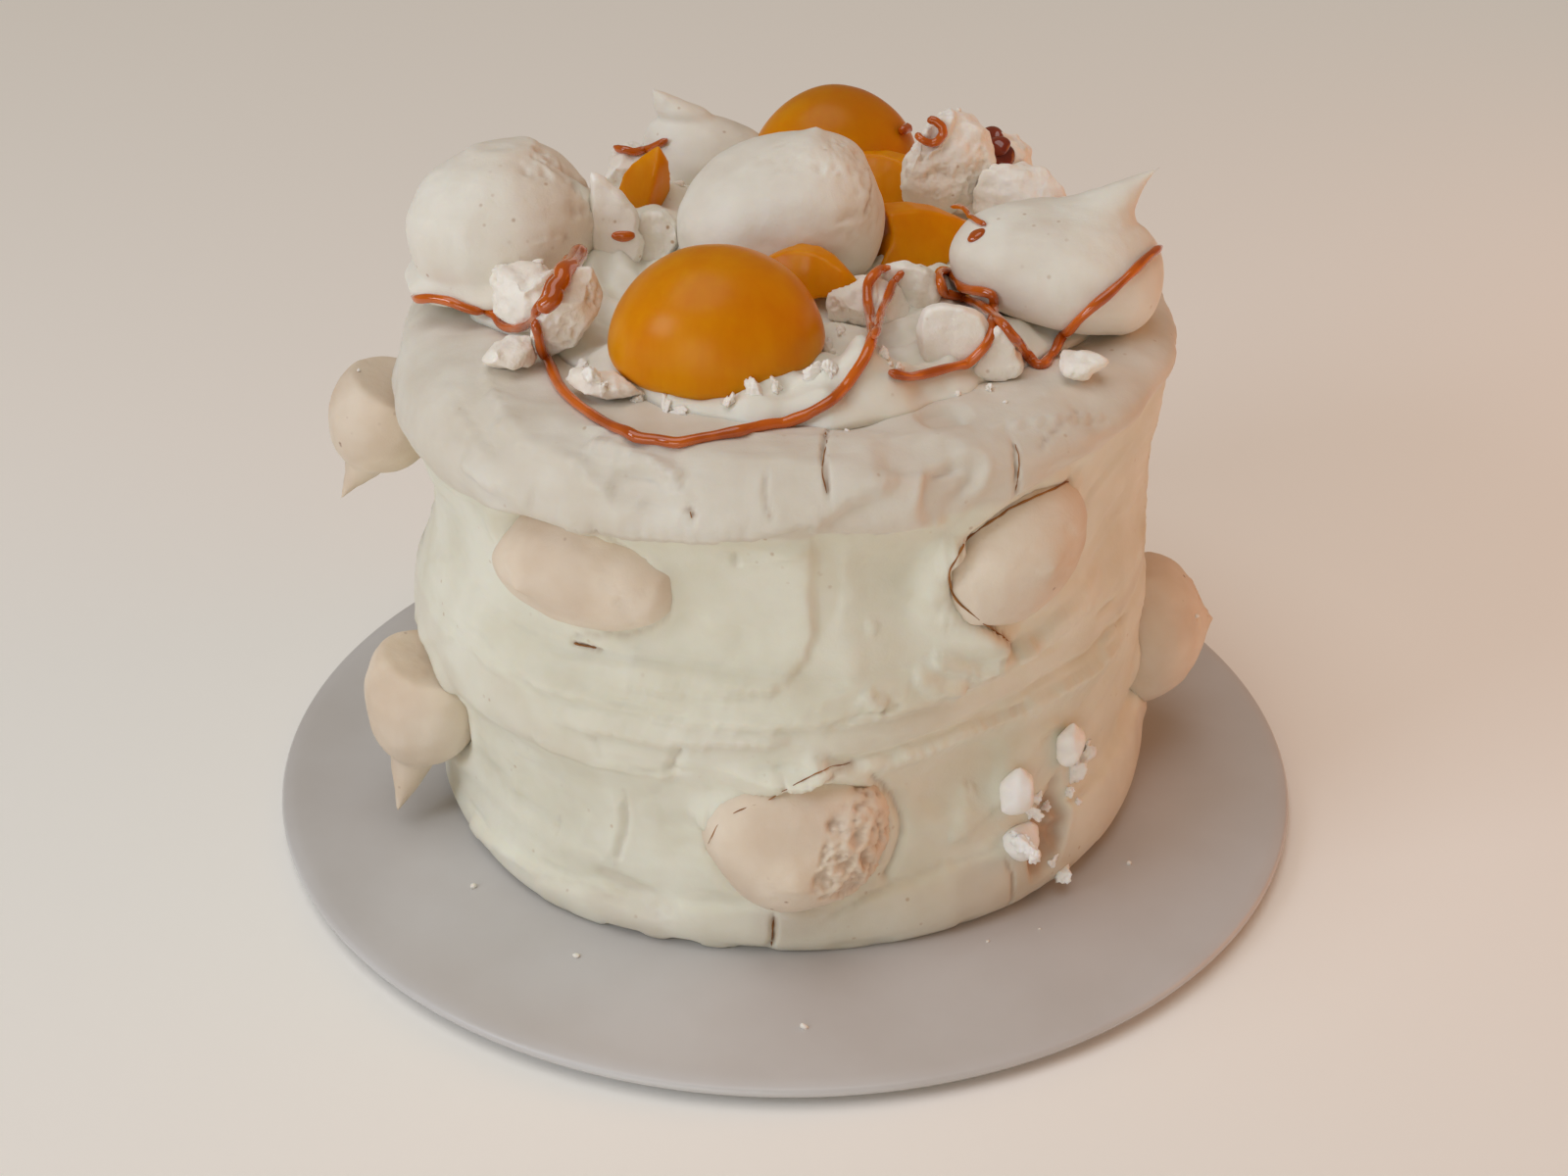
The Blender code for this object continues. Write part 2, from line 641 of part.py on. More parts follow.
def apply_boolean(target, tool, operation):
    """Applies one Boolean to a mesh that sits untransformed in the world."""
    modifier = target.modifiers.new("boolean", "BOOLEAN")
    modifier.operation = operation
    modifier.solver = "MANIFOLD"
    modifier.object = tool
    graph = bpy.context.evaluated_depsgraph_get()
    made = bpy.data.meshes.new_from_object(target.evaluated_get(graph))
    target.modifiers.remove(modifier)
    old = target.data
    target.data = made
    bpy.data.meshes.remove(old)


def discard(tool):
    tool_mesh = tool.data
    bpy.data.objects.remove(tool)
    bpy.data.meshes.remove(tool_mesh)


def largest_body(obj):
    """Welds the cut mesh and drops the loose scraps that cutting leaves behind."""
    bm = bmesh.new()
    bm.from_mesh(obj.data)
    bmesh.ops.remove_doubles(bm, verts=bm.verts, dist=1e-6)
    bmesh.ops.dissolve_degenerate(bm, dist=1e-6, edges=bm.edges)
    unseen = set(bm.faces)
    bodies = []
    while unseen:
        stack = [unseen.pop()]
        body = list(stack)
        while stack:
            for edge in stack.pop().edges:
                for face in edge.link_faces:
                    if face in unseen:
                        unseen.remove(face)
                        body.append(face)
                        stack.append(face)
        bodies.append(body)
    keep = max(bodies, key=spread_of)
    scraps = [face for body in bodies if body is not keep for face in body]
    bmesh.ops.delete(bm, geom=scraps, context="FACES")
    bmesh.ops.delete(bm, geom=[vert for vert in bm.verts if not vert.link_faces], context="VERTS")
    bmesh.ops.dissolve_limit(bm, angle_limit=math.radians(0.15), verts=bm.verts, edges=bm.edges)
    bmesh.ops.triangulate(bm, faces=bm.faces)
    bm.to_mesh(obj.data)
    bm.free()


def spread_of(faces):
    """Area of a set of faces."""
    return sum(face.calc_area() for face in faces)


def make_room(target, cutters):
    """Cuts a pocket in the target for every piece that reaches into it."""
    for cutter in cutters:
        if boxes_meet(target, cutter, 0.0):
            apply_boolean(target, cutter, "DIFFERENCE")
    largest_body(target)


def smooth_strand(points, step):
    """Even points on a smooth curve through the strand's own points."""
    path = [Vector(point) for point in points]
    path = [2 * path[0] - path[1], *path, 2 * path[-1] - path[-2]]
    fine = []
    for a, b, c, d in zip(path, path[1:], path[2:], path[3:]):
        for part in range(24):
            t = part / 24
            fine.append(0.5 * (2 * b + (c - a) * t + (2 * a - 5 * b + 4 * c - d) * t * t + (3 * b - a - 3 * c + d) * t**3))
    fine.append(path[-2])
    even, since = [fine[0]], 0.0
    for before, after in zip(fine, fine[1:]):
        since += (after - before).length
        if since >= step:
            even.append(after)
            since = 0.0
    return even


def drizzle_runs(strand, nodes, trees):
    """Parts the strand into runs, each lying on one node and clear of all the others."""
    runs, run, on = [], [], None
    for point in smooth_strand(strand, DRIZZLE_STEP / 4):
        above = Vector((point.x, point.y, 0.30))
        hits = [(trees[node.name].ray_cast(above, Vector((0, 0, -1)))[0], node) for node in nodes]
        hits = [(hit, node) for hit, node in hits if hit is not None]
        if not hits:
            continue
        hit, node = max(hits, key=lambda found: found[0].z)
        middle = Vector((point.x, point.y, hit.z + DRIZZLE_RADIUS * (1 - 2 * DRIZZLE_SINK)))
        needed = DRIZZLE_RADIUS + DRIZZLE_CLEARANCE
        free = all(
            trees[other.name].find_nearest(middle, needed)[0] is None for other in nodes if other is not node
        )
        steep = run and (middle - run[-1]).length > 0.7 * DRIZZLE_STEP
        if node is not on or not free or steep:
            runs.append((on, run))
            run = []
        on = node
        if free:
            run.append(middle)
    runs.append((on, run))
    return [(node, [*run[:-2:4], run[-1]]) for node, run in runs if len(run) > 7]


def tube(points, radius, sides):
    """A closed tube with tapered ends along the points."""
    bm = bmesh.new()
    rings = []
    for i, point in enumerate(points):
        ahead = points[min(i + 1, len(points) - 1)]
        behind = points[max(i - 1, 0)]
        run = (ahead - behind).normalized()
        side = run.cross(Vector((0, 0, 1))).normalized()
        up = side.cross(run)
        size = radius * (0.6 if i in (0, len(points) - 1) else 1.0)
        rings.append([point + size * (math.cos(a) * side + math.sin(a) * up) for a in angle_steps(sides)])
    ring_stack(bm, rings)
    bmesh.ops.triangulate(bm, faces=bm.faces)
    bmesh.ops.recalc_face_normals(bm, faces=bm.faces)
    mesh = bpy.data.meshes.new("drizzle")
    bm.to_mesh(mesh)
    bm.free()
    made = bpy.data.objects.new("drizzle", mesh)
    bpy.context.scene.collection.objects.link(made)
    return made


def fuse_drizzle(nodes):
    """Joins each run of caramel to the piece that it lies on."""
    trees = {}
    for node in nodes:
        corners_of = [vert.co.copy() for vert in node.data.vertices]
        trees[node.name] = BVHTree.FromPolygons(corners_of, [list(face.vertices) for face in node.data.polygons])
    runs = [found for strand in DRIZZLE_STRANDS for found in drizzle_runs(strand, nodes, trees)]
    for node, points in runs:
        run = tube(points, DRIZZLE_RADIUS, DRIZZLE_SIDES)
        apply_boolean(node, run, "UNION")
        discard(run)
        largest_body(node)


def main():
    clear_scene()
    build_plate()
    layers = {name: build_layer(name, shape) for name, shape in LAYERS.items()}
    bed = build_cream_bed()

    side = [build_side_kiss(name, spec, 1.3 * i) for i, (name, spec) in enumerate(SIDE_KISSES.items())]
    side += [build_hanging_kiss(name, spec, 0.7 + i) for i, (name, spec) in enumerate(HANGING_KISSES.items())]
    side += [build_side_piece(name, spec) for name, spec in SIDE_PIECES.items()]

    kisses = [build_top_kiss(name, spec, 0.9 * i) for i, (name, spec) in enumerate(TOP_KISSES.items())]
    fruit = [build_peach_half(name, spec) for name, spec in PEACH_HALVES.items()]
    fruit += [build_peach_slice(name, spec) for name, spec in PEACH_SLICES.items()]
    pieces = [build_piece(name, spec) for name, spec in MERINGUE_PIECES.items()]

    toppings = [*kisses, *fruit, *pieces]
    side_rooms = [inflated(piece, POCKET_GAP) for piece in side]
    top_rooms = [inflated(piece, POCKET_GAP) for piece in toppings]
    for layer in layers.values():
        make_room(layer, side_rooms)
    for i, topping in enumerate(toppings):
        if topping not in kisses:
            make_room(topping, top_rooms[:i])
    make_room(bed, top_rooms)
    for room in [*side_rooms, *top_rooms]:
        discard(room)
    fuse_drizzle([*toppings, bed, layers["top_disc"]])


main()
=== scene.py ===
import math
import random
import bpy
import numpy as np
from mathutils import Matrix, Vector, noise


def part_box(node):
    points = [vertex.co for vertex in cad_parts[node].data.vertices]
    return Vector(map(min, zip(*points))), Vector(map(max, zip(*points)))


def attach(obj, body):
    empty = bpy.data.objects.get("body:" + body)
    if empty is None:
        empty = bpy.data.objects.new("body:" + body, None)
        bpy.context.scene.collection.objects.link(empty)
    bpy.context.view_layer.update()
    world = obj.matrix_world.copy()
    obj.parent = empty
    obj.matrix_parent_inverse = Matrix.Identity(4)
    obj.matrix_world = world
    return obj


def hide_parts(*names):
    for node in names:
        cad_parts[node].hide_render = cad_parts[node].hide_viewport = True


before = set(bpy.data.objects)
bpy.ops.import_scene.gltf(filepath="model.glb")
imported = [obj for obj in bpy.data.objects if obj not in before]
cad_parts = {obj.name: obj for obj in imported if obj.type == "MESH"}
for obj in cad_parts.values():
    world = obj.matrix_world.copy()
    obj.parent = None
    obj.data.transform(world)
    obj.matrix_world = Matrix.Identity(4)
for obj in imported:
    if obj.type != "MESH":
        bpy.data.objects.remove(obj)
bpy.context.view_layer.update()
print("frame loaded:", len(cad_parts), "nodes")

scene = bpy.context.scene


# small helpers

def deselectAll():
    if bpy.context.object and bpy.context.object.mode != "OBJECT":
        bpy.ops.object.mode_set(mode="OBJECT")
    bpy.ops.object.select_all(action="DESELECT")


def pick(obj):
    deselectAll()
    obj.select_set(True)
    bpy.context.view_layer.objects.active = obj


def applyAll(obj):
    pick(obj)
    for modifier in list(obj.modifiers):
        bpy.ops.object.modifier_apply(modifier=modifier.name)


# one vector for each vertex as an array: its place, or its normal
def getPoints(obj, kind="co"):
    flat = np.empty(len(obj.data.vertices) * 3)
    obj.data.vertices.foreach_get(kind, flat)
    return flat.reshape(-1, 3)


def setPoints(obj, places):
    obj.data.vertices.foreach_set("co", np.ascontiguousarray(places, dtype=np.float64).ravel())
    obj.data.update()


def setMask(obj, name, values):
    mask = obj.data.attributes.new(name, "FLOAT", "POINT")
    mask.data.foreach_set("value", np.ascontiguousarray(values, dtype=np.float32).ravel())


def newMesh(name, places, faces):
    mesh = bpy.data.meshes.new(name)
    mesh.from_pydata(places, [], faces)
    obj = bpy.data.objects.new(name, mesh)
    scene.collection.objects.link(obj)
    return obj


# all of the mesh is selected in edit mode for one operator
def editAll(obj, operator, **settings):
    pick(obj)
    bpy.ops.object.mode_set(mode="EDIT")
    bpy.ops.mesh.select_all(action="SELECT")
    operator(**settings)
    bpy.ops.object.mode_set(mode="OBJECT")


def joinAll(pieces):
    deselectAll()
    for piece in pieces:
        piece.select_set(True)
    bpy.context.view_layer.objects.active = pieces[0]
    bpy.ops.object.join()
    return bpy.context.object


def unit(way):
    return np.array(way) / np.linalg.norm(way)


def moved(places, matrix):
    matrix = np.array(matrix)
    return places @ matrix[:3, :3].T + matrix[:3, 3]


# side_piece_right_a becomes sidePieceRightA
def camelName(node):
    first, *rest = node.split("_")
    return first + "".join(word.capitalize() for word in rest)


# smooth random lumps of one size, from about -1 to 1; its primes and shifts only mix the cells' numbers
def lumps(at, size, seed=0):
    cell = np.ascontiguousarray(at.T) / size
    low = np.floor(cell)
    part = cell - low
    part = part * part * part * (part * (part * 6 - 15) + 10)
    low = low.astype(np.int64)
    keys = [[low[k] * prime, (low[k] + 1) * prime] for k, prime in enumerate((374761393, 668265263, 224682251))]
    shares = [[1 - part[k], part[k]] for k in range(3)]
    total = np.zeros(len(at))
    for i in (0, 1):
        for j in (0, 1):
            pairKey, pairShare = keys[0][i] + keys[1][j] + seed * 326648991, shares[0][i] * shares[1][j]
            for k in (0, 1):
                mixed = pairKey + keys[2][k]
                mixed = (mixed ^ (mixed >> 13)) * 127412617
                mixed = mixed ^ (mixed >> 16)
                total += pairShare * shares[2][k] * ((mixed & 65535) / 32767.5 - 1)
    return total


# lumps of several sizes, each finer and fainter than the last
def grain(at, size, seed=0, layers=3, fall=0.5):
    total, weight = np.zeros(len(at)), 1.0
    for layer in range(layers):
        total += weight * lumps(at, size / 2.1**layer, seed + 17 * layer)
        weight *= fall
    return total


# 0 to 1 with a soft start and stop
def ease(values):
    part = np.clip(values, 0, 1)
    return part * part * (3 - 2 * part)


def wrapTurn(angles):
    return (angles + math.pi) % (2 * math.pi) - math.pi


# distances along and up, turned to run along a slope and across it
def onSlope(along, up, slope):
    tilt = math.radians(slope)
    return along * math.cos(tilt) + up * math.sin(tilt), up * math.cos(tilt) - along * math.sin(tilt)


def turned(angles):
    x, y, z = (math.radians(angle) for angle in angles)
    return Matrix.Rotation(z, 4, "Z") @ Matrix.Rotation(y, 4, "Y") @ Matrix.Rotation(x, 4, "X")


# a ball laid ring by ring, which is then pulled to a profile; Blender's own takes half a minute when this dense
def addBall(name, around, rings):
    ring = np.repeat(np.arange(1, rings), around)
    turn = np.tile(np.arange(around), rings - 1)
    rise, angle = ring / rings * math.pi, turn / around * 2 * math.pi
    places = np.stack([np.sin(rise) * np.cos(angle), np.sin(rise) * np.sin(angle), -np.cos(rise)], axis=1)
    places = np.concatenate([[[0, 0, -1]], places, [[0, 0, 1]]]) * 0.1
    ring, turn = np.concatenate([[0], ring, [rings]]), np.concatenate([[0], turn, [0]])
    first = 1 + (ring[1:-1 - around] - 1) * around
    here, beside = turn[1:-1 - around], (turn[1:-1 - around] + 1) % around
    faces = np.stack([first + here, first + beside, first + beside + around, first + here + around], axis=1).tolist()
    last = len(places) - 1
    for k in range(around):
        after = (k + 1) % around
        faces.append([0, 1 + after, 1 + k])
        faces.append([last, last - around + k, last - around + after])
    return newMesh(name, places.tolist(), faces), turn, ring


def lengthAlong(line):
    return np.concatenate([[0], np.cumsum(np.linalg.norm(np.diff(line, axis=0), axis=1))])


# a line through its own points, in even steps
def evenLine(line, count):
    line = np.asarray(line, float)
    length = lengthAlong(line)
    at = np.linspace(0, length[-1], count)
    return np.stack([np.interp(at, length, line[:, k]) for k in range(line.shape[1])], axis=1)


# each place drawn towards its neighbours
def softened(line, rounds):
    line = np.array(line, float)
    for _ in range(rounds):
        line[1:-1] = 0.25 * line[:-2] + 0.5 * line[1:-1] + 0.25 * line[2:]
    return line


def finishPiece(obj, name, material, nodes):
    obj.name = name
    obj.data.name = name
    obj.data.materials.clear()
    obj.data.materials.append(material)
    pick(obj)
    bpy.ops.object.shade_smooth()
    deselectAll()
    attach(obj, "root")
    if nodes:
        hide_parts(*nodes)
    return obj


# materials

def hexColour(text):
    parts = [int(text[i:i + 2], 16) / 255 for i in (1, 3, 5)]
    return tuple(c / 12.92 if c <= 0.04045 else ((c + 0.055) / 1.055) ** 2.4 for c in parts) + (1.0,)


def addNode(tree, kind, settings=None, links=None):
    node = tree.nodes.new(kind)
    for key, value in (settings or {}).items():
        if isinstance(key, int) or key in node.inputs:
            node.inputs[key].default_value = value
        else:
            setattr(node, key, value)
    for key, source in (links or {}).items():
        tree.links.new(source, node.inputs[key])
    return node


def newMaterial(name, shaderSettings):
    made = bpy.data.materials.new(name)
    made.use_nodes = True
    tree = made.node_tree
    shader = tree.nodes["Principled BSDF"]
    for key, value in shaderSettings.items():
        shader.inputs[key].default_value = value
    return made, tree, shader


def mixColours(tree, share, first, second):
    mix = addNode(tree, "ShaderNodeMix", {"data_type": "RGBA"})
    for socket, value in ((mix.inputs[0], share), (mix.inputs[6], first), (mix.inputs[7], second)):
        if isinstance(value, (tuple, float, int)):
            socket.default_value = value
        else:
            tree.links.new(value, socket)
    return mix.outputs[2]


def objectPlace(tree):
    return addNode(tree, "ShaderNodeTexCoord").outputs["Object"]


def addNoise(tree, place, scale, detail, rough=0.5):
    settings = {"Scale": scale, "Detail": detail, "Roughness": rough}
    return addNode(tree, "ShaderNodeTexNoise", settings, {"Vector": place}).outputs[0]


# how far a value has come from low to high
def shareOf(tree, value, low, high, most=1.0):
    settings = {"From Min": low, "From Max": high, "To Max": most}
    return addNode(tree, "ShaderNodeMapRange", settings, {"Value": value}).outputs[0]


def paintedMask(tree, name):
    return addNode(tree, "ShaderNodeAttribute", {"attribute_name": name}).outputs["Fac"]


def setColour(tree, shader, colour):
    tree.links.new(colour, shader.inputs["Base Color"])


def setBump(tree, shader, height, strength, distance):
    bump = addNode(tree, "ShaderNodeBump", {"Strength": strength, "Distance": distance}, {"Height": height})
    tree.links.new(bump.outputs[0], shader.inputs["Normal"])


# two close colours in soft clouds
def cloudColour(tree, place, look):
    scale, detail, low, high, light, deep = look
    share = shareOf(tree, addNoise(tree, place, scale, detail), low, high)
    return mixColours(tree, share, hexColour(light), hexColour(deep))


# whipped cream and dry meringue are both airy and white, so light goes a few millimetres into them
def airyMaterial(name, look):
    made, tree, shader = newMaterial(name, {
        "Roughness": look["roughness"],
        "IOR": 1.40,
        "Subsurface Weight": look["depth"],
        "Subsurface Radius": (1.0, 0.72, 0.46),
        "Subsurface Scale": 0.0018,
        "Specular IOR Level": 0.42,
    })
    place = objectPlace(tree)
    # patches about 25 mm wide, as the oven or the spoon left them
    patches = shareOf(tree, addNoise(tree, place, 38.0, 3.0, 0.55), 0.36, 0.66)
    colour = mixColours(tree, patches, hexColour(look["light"]), hexColour(look["deep"]))
    if "other" in look:
        # the other finish shows where its mask is painted on the mesh
        second = mixColours(tree, patches, hexColour(look["other"]), hexColour(look["otherDeep"]))
        colour = mixColours(tree, paintedMask(tree, "discShare"), colour, second)
    # the brown goes where the mask says: browning of the bake, and painted shade in cracks, creases, gaps, hollows
    # and pores
    colour = mixColours(tree, paintedMask(tree, "brownedAndShade"), colour, hexColour(look["brown"]))
    # specks of baked sugar, about 0.6 mm, few and faint
    cells = addNode(tree, "ShaderNodeTexVoronoi", {"Scale": 210.0}, {"Vector": place}).outputs["Distance"]
    specks = shareOf(tree, cells, 0.16, 0.06, look["specks"])
    where = shareOf(tree, addNoise(tree, place, 55.0, 1.0), 0.56, 0.68)
    both = addNode(tree, "ShaderNodeMath", {"operation": "MULTIPLY"}, {0: specks, 1: where}).outputs[0]
    setColour(tree, shader, mixColours(tree, both, colour, hexColour(look["speck"])))
    # air bubbles of 1 to 3 mm and the fine tooth of the surface
    setBump(tree, shader, addNoise(tree, place, look["bubbleScale"], 5.0, 0.62), look["bump"], 0.0010)
    return made


# ivory, with a soft sheen where the knife passed; the discs under it are drier and greyer
spreadCream = airyMaterial("WhippedCreamKnifeSpread", {
    "light": "#ECEBDD", "deep": "#E1DECC", "other": "#E3DED4", "otherDeep": "#D8CFC1", "brown": "#9A6A3C",
    "speck": "#B08A5E", "specks": 0.5, "roughness": 0.50, "depth": 0.30, "bubbleScale": 330.0, "bump": 0.16,
})
# whiter and softer, since no knife dragged crumbs through it
bedCream = airyMaterial("WhippedCreamSpooned", {
    "light": "#EEEFE6", "deep": "#E6E3D6", "brown": "#A87848",
    "speck": "#B08A5E", "specks": 0.3, "roughness": 0.46, "depth": 0.32, "bubbleScale": 300.0, "bump": 0.14,
})
# dried more than baked: matt, nearly white
paleMeringue = airyMaterial("MeringueBakedPale", {
    "light": "#F3F1E8", "deep": "#E8E3D7", "brown": "#B08456",
    "speck": "#A87C50", "specks": 0.6, "roughness": 0.58, "depth": 0.22, "bubbleScale": 420.0, "bump": 0.20,
})
# baked a little longer: matt, pale beige
toastedMeringue = airyMaterial("MeringueBakedToasted", {
    "light": "#EDE1D0", "deep": "#E2D0BA", "brown": "#8A5730",
    "speck": "#8C5C38", "specks": 0.9, "roughness": 0.56, "depth": 0.20, "bubbleScale": 420.0, "bump": 0.20,
})
# the rough white inside of a broken piece
brokenMeringue = airyMaterial("MeringueBrokenCrumb", {
    "light": "#FEFBF4", "deep": "#F5EFE5", "brown": "#C0945F",
    "speck": "#B58B5C", "specks": 0.8, "roughness": 0.66, "depth": 0.20, "bubbleScale": 260.0, "bump": 0.55,
})

# whiter than the broken crumb, a painted highlight for the bright chips low on the right: plain white and hardly
# speckled
whiteChips = airyMaterial("MeringueChipsPaintedBright", {
    "light": "#FFFFFE", "deep": "#FBF9F4", "brown": "#C0945F",
    "speck": "#E0D0B8", "specks": 0.1, "roughness": 0.40, "depth": 0.30, "bubbleScale": 300.0, "bump": 0.20,
})


# tinned peach: wet, clear flesh that glows orange right through, with faint fibres
def peachMaterial():
    made, tree, shader = newMaterial("PeachFleshInSyrup", {
        "Roughness": 0.32,
        "IOR": 1.36,
        "Specular IOR Level": 0.28,
        "Subsurface Weight": 0.45,
        "Subsurface Radius": (1.0, 0.36, 0.05),
        "Subsurface Scale": 0.009,
        "Coat Weight": 0.05,
        "Coat Roughness": 0.15,
        "Coat IOR": 1.36,
    })
    place = objectPlace(tree)
    stretched = addNode(tree, "ShaderNodeMapping", {"Scale": (1.0, 1.0, 0.35)}, {"Vector": place})
    fibres = addNoise(tree, stretched.outputs[0], 95.0, 4.0, 0.6)
    colour = mixColours(tree, shareOf(tree, fibres, 0.35, 0.68), hexColour("#E29400"), hexColour("#DA8400"))
    # the mask paints a deeper orange: painted shade on the back half's crown, and a little darkening towards the
    # front one's top
    setColour(tree, shader, mixColours(tree, paintedMask(tree, "brownedAndShade"), colour, hexColour("#A05A0A")))
    setBump(tree, shader, fibres, 0.12, 0.0008)
    return made


# boiled caramel, poured: a smooth skin like glass over a deep amber body
def caramelMaterial(name, light, deep):
    made, tree, shader = newMaterial(name, {
        "Roughness": 0.09,
        "IOR": 1.48,
        "Subsurface Weight": 0.12,
        "Subsurface Radius": (1.0, 0.30, 0.06),
        "Subsurface Scale": 0.003,
        "Coat Weight": 0.6,
        "Coat Roughness": 0.04,
    })
    setColour(tree, shader, cloudColour(tree, objectPlace(tree), (90.0, 2.0, 0.4, 0.65, light, deep)))
    return made


# stoneware under a satin glaze: a clear thin coat over faint clouds, hardly rippled
def plateMaterial():
    made, tree, shader = newMaterial("StonewareSatinGlaze", {
        "Roughness": 0.34,
        "IOR": 1.50,
        "Coat Weight": 0.12,
        "Coat Roughness": 0.18,
    })
    place = objectPlace(tree)
    setColour(tree, shader, cloudColour(tree, place, (16.0, 4.0, 0.35, 0.65, "#CCCBCB", "#C4C1BF")))
    setBump(tree, shader, addNoise(tree, place, 160.0, 2.0), 0.05, 0.0005)
    return made


# a dark line of painted shade in the bottom of a crack or gap
def crackMaterial():
    made, tree, shader = newMaterial("PaintedShadeInCrack", {"Roughness": 0.7})
    setColour(tree, shader, cloudColour(tree, objectPlace(tree), (120.0, 2.0, 0.4, 0.6, "#875424", "#A66E30")))
    return made


peachFlesh = peachMaterial()
boiledCaramel = caramelMaterial("CaramelBoiledPoured", "#D0660E", "#AE4E08")
# thick drops boiled darker
darkCaramel = caramelMaterial("CaramelBoiledDark", "#8A2E14", "#6A200E")
satinGlaze = plateMaterial()
crackShadePaint = crackMaterial()
print("materials made")


# camera

cameraValues = {
    "place": (0.0, -0.53618, 0.37343),
    "below horizon": 30.11,
    "heading": 0.104,
    "roll": 0.46,
    "lens": 45.79,
}

sensorWidth = 36
pictureWidth, pictureHeight = 1600, 1200
bpy.ops.object.camera_add(location=(0, 0, 0))
camera = bpy.context.object
camera.data.sensor_width = sensorWidth
camera.data.lens = cameraValues["lens"]
camera.data.clip_start = 0.01
camera.data.clip_end = 20
camera.matrix_world = (
    Matrix.Translation(cameraValues["place"])
    @ Matrix.Rotation(math.radians(cameraValues["heading"]), 4, "Z")
    @ Matrix.Rotation(math.radians(90 - cameraValues["below horizon"]), 4, "X")
    @ Matrix.Rotation(math.radians(cameraValues["roll"]), 4, "Z")
)
scene.camera = camera
cameraFrame = camera.matrix_world.copy()


# the way a place in the 1600 x 1200 picture looks from the camera
def wayThrough(across, down):
    perPixel = sensorWidth / pictureWidth / cameraValues["lens"]
    aside, above = (across - pictureWidth / 2) * perPixel, (pictureHeight / 2 - down) * perPixel
    return (cameraFrame.to_3x3() @ Vector((aside, above, -1))).normalized()


# plate

plateValues = {
    "radius": 0.160,
    "around": 192,
    "rings": 64,
    "profile": (
        (0.0, 0.0), (0.138, 0.0), (0.153, 0.0012), (0.1588, 0.0030), (0.1600, 0.0049), (0.1592, 0.0063),
        (0.1562, 0.0068), (0.1480, 0.0061), (0.1360, 0.0055), (0.0, 0.0055),
    ),
}


def makePlate(values):
    around, rings = values["around"], values["rings"]
    plate, turn, ring = addBall("plateGlazed", around, rings)
    line = [(0.0, 0.0)]
    for first, last in zip(values["profile"], values["profile"][1:]):
        steps = 8 if abs(first[0] - last[0]) > 0.05 else 6
        for step in range(1, steps + 1):
            line.append(tuple(a + (b - a) * step / steps for a, b in zip(first, last)))
    line = np.array(line)
    # only the edge is rounded
    line = np.where(line[:, :1] > 0.12, softened(line, 3), line)
    index = np.linspace(0, len(line) - 1, rings + 1)
    radii = np.interp(index, np.arange(len(line)), line[:, 0])
    heights = np.maximum(np.interp(index, np.arange(len(line)), line[:, 1]), 0.0)
    angle = turn / around * 2 * math.pi
    # hand-thrown, so a little out of round
    radius = np.minimum(radii[ring] * (1 + 0.0010 * np.sin(2 * angle + 0.4)), values["radius"])
    setPoints(plate, np.stack([radius * np.cos(angle), radius * np.sin(angle), heights[ring]], axis=1))
    return finishPiece(plate, "plateGlazed", satinGlaze, ["plate"])


makePlate(plateValues)
print("plate done")


# body of the cake: discs and the cream spread over them

cakeMiddle = (0.001, 0.005)
bodyValues = {
    "middle": cakeMiddle,
    "foot": 0.0058,
    "plate top": 0.0057,
    "top": 0.1580,
    # radius of the cream's side, of the knife's way round it, and of the lips round the kisses
    "side": 0.1095,
    "knife": 0.1120,
    "lips": 0.1105,
    "knife pulls": 190,
    "top pulls": 46,
    "around": 600,
    "rings": 160,
    # lowest z and its rise along X, highest z and its rise, radius, how far slid along X, waves, side profile
    "layers": (
        (0.0058, 0.0, 0.0245, 0.11, 0.1125, 0.001, 0.0009, ((0.004, 0.0), (0.0006, 0.16), (0.0, 0.5),
            (0.0012, 0.84), (0.0035, 1.0))),
        (0.0245, 0.11, 0.0685, 0.13, 0.1095, -0.001, 0.0016, ((0.0015, 0.0), (0.0005, 0.25), (0.0022, 0.5),
            (0.0016, 0.75), (0.0, 1.0))),
        (0.0685, 0.13, 0.0840, 0.06, 0.1115, -0.004, 0.0010, ((0.0025, 0.0), (0.0, 0.22), (0.0004, 0.7),
            (0.0025, 1.0))),
        (0.0840, 0.06, 0.1365, 0.10, 0.1095, -0.002, 0.0018, ((0.0, 0.0), (0.0018, 0.18), (0.0032, 0.42),
            (0.0030, 0.66), (0.0008, 0.88), (0.0012, 1.0))),
        (0.1365, 0.10, 0.1580, 0.0, 0.1145, -0.003, 0.0010, ((0.0045, 0.0), (0.0010, 0.20), (0.0, 0.42),
            (0.0020, 0.66), (0.0062, 0.86), (0.0140, 1.0))),
    ),
    # broad knife strokes: azimuth, height, half length, half width, slope, depth
    "hollows": (
        (-8, 0.104, 0.030, 0.012, 12, 0.0030), (14, 0.110, 0.016, 0.015, -30, 0.0022),
        (-50, 0.094, 0.030, 0.009, -8, 0.0022), (-34, 0.052, 0.026, 0.012, 10, 0.0024),
        (24, 0.056, 0.024, 0.013, 8, 0.0028), (62, 0.106, 0.030, 0.013, 5, 0.0024),
        (96, 0.060, 0.032, 0.012, -6, 0.0024), (128, 0.100, 0.034, 0.012, 8, 0.0026),
        (160, 0.050, 0.030, 0.013, -5, 0.0024), (196, 0.108, 0.032, 0.012, 6, 0.0026),
        (232, 0.054, 0.030, 0.012, -8, 0.0024), (262, 0.096, 0.026, 0.011, 5, 0.0022),
    ),
}

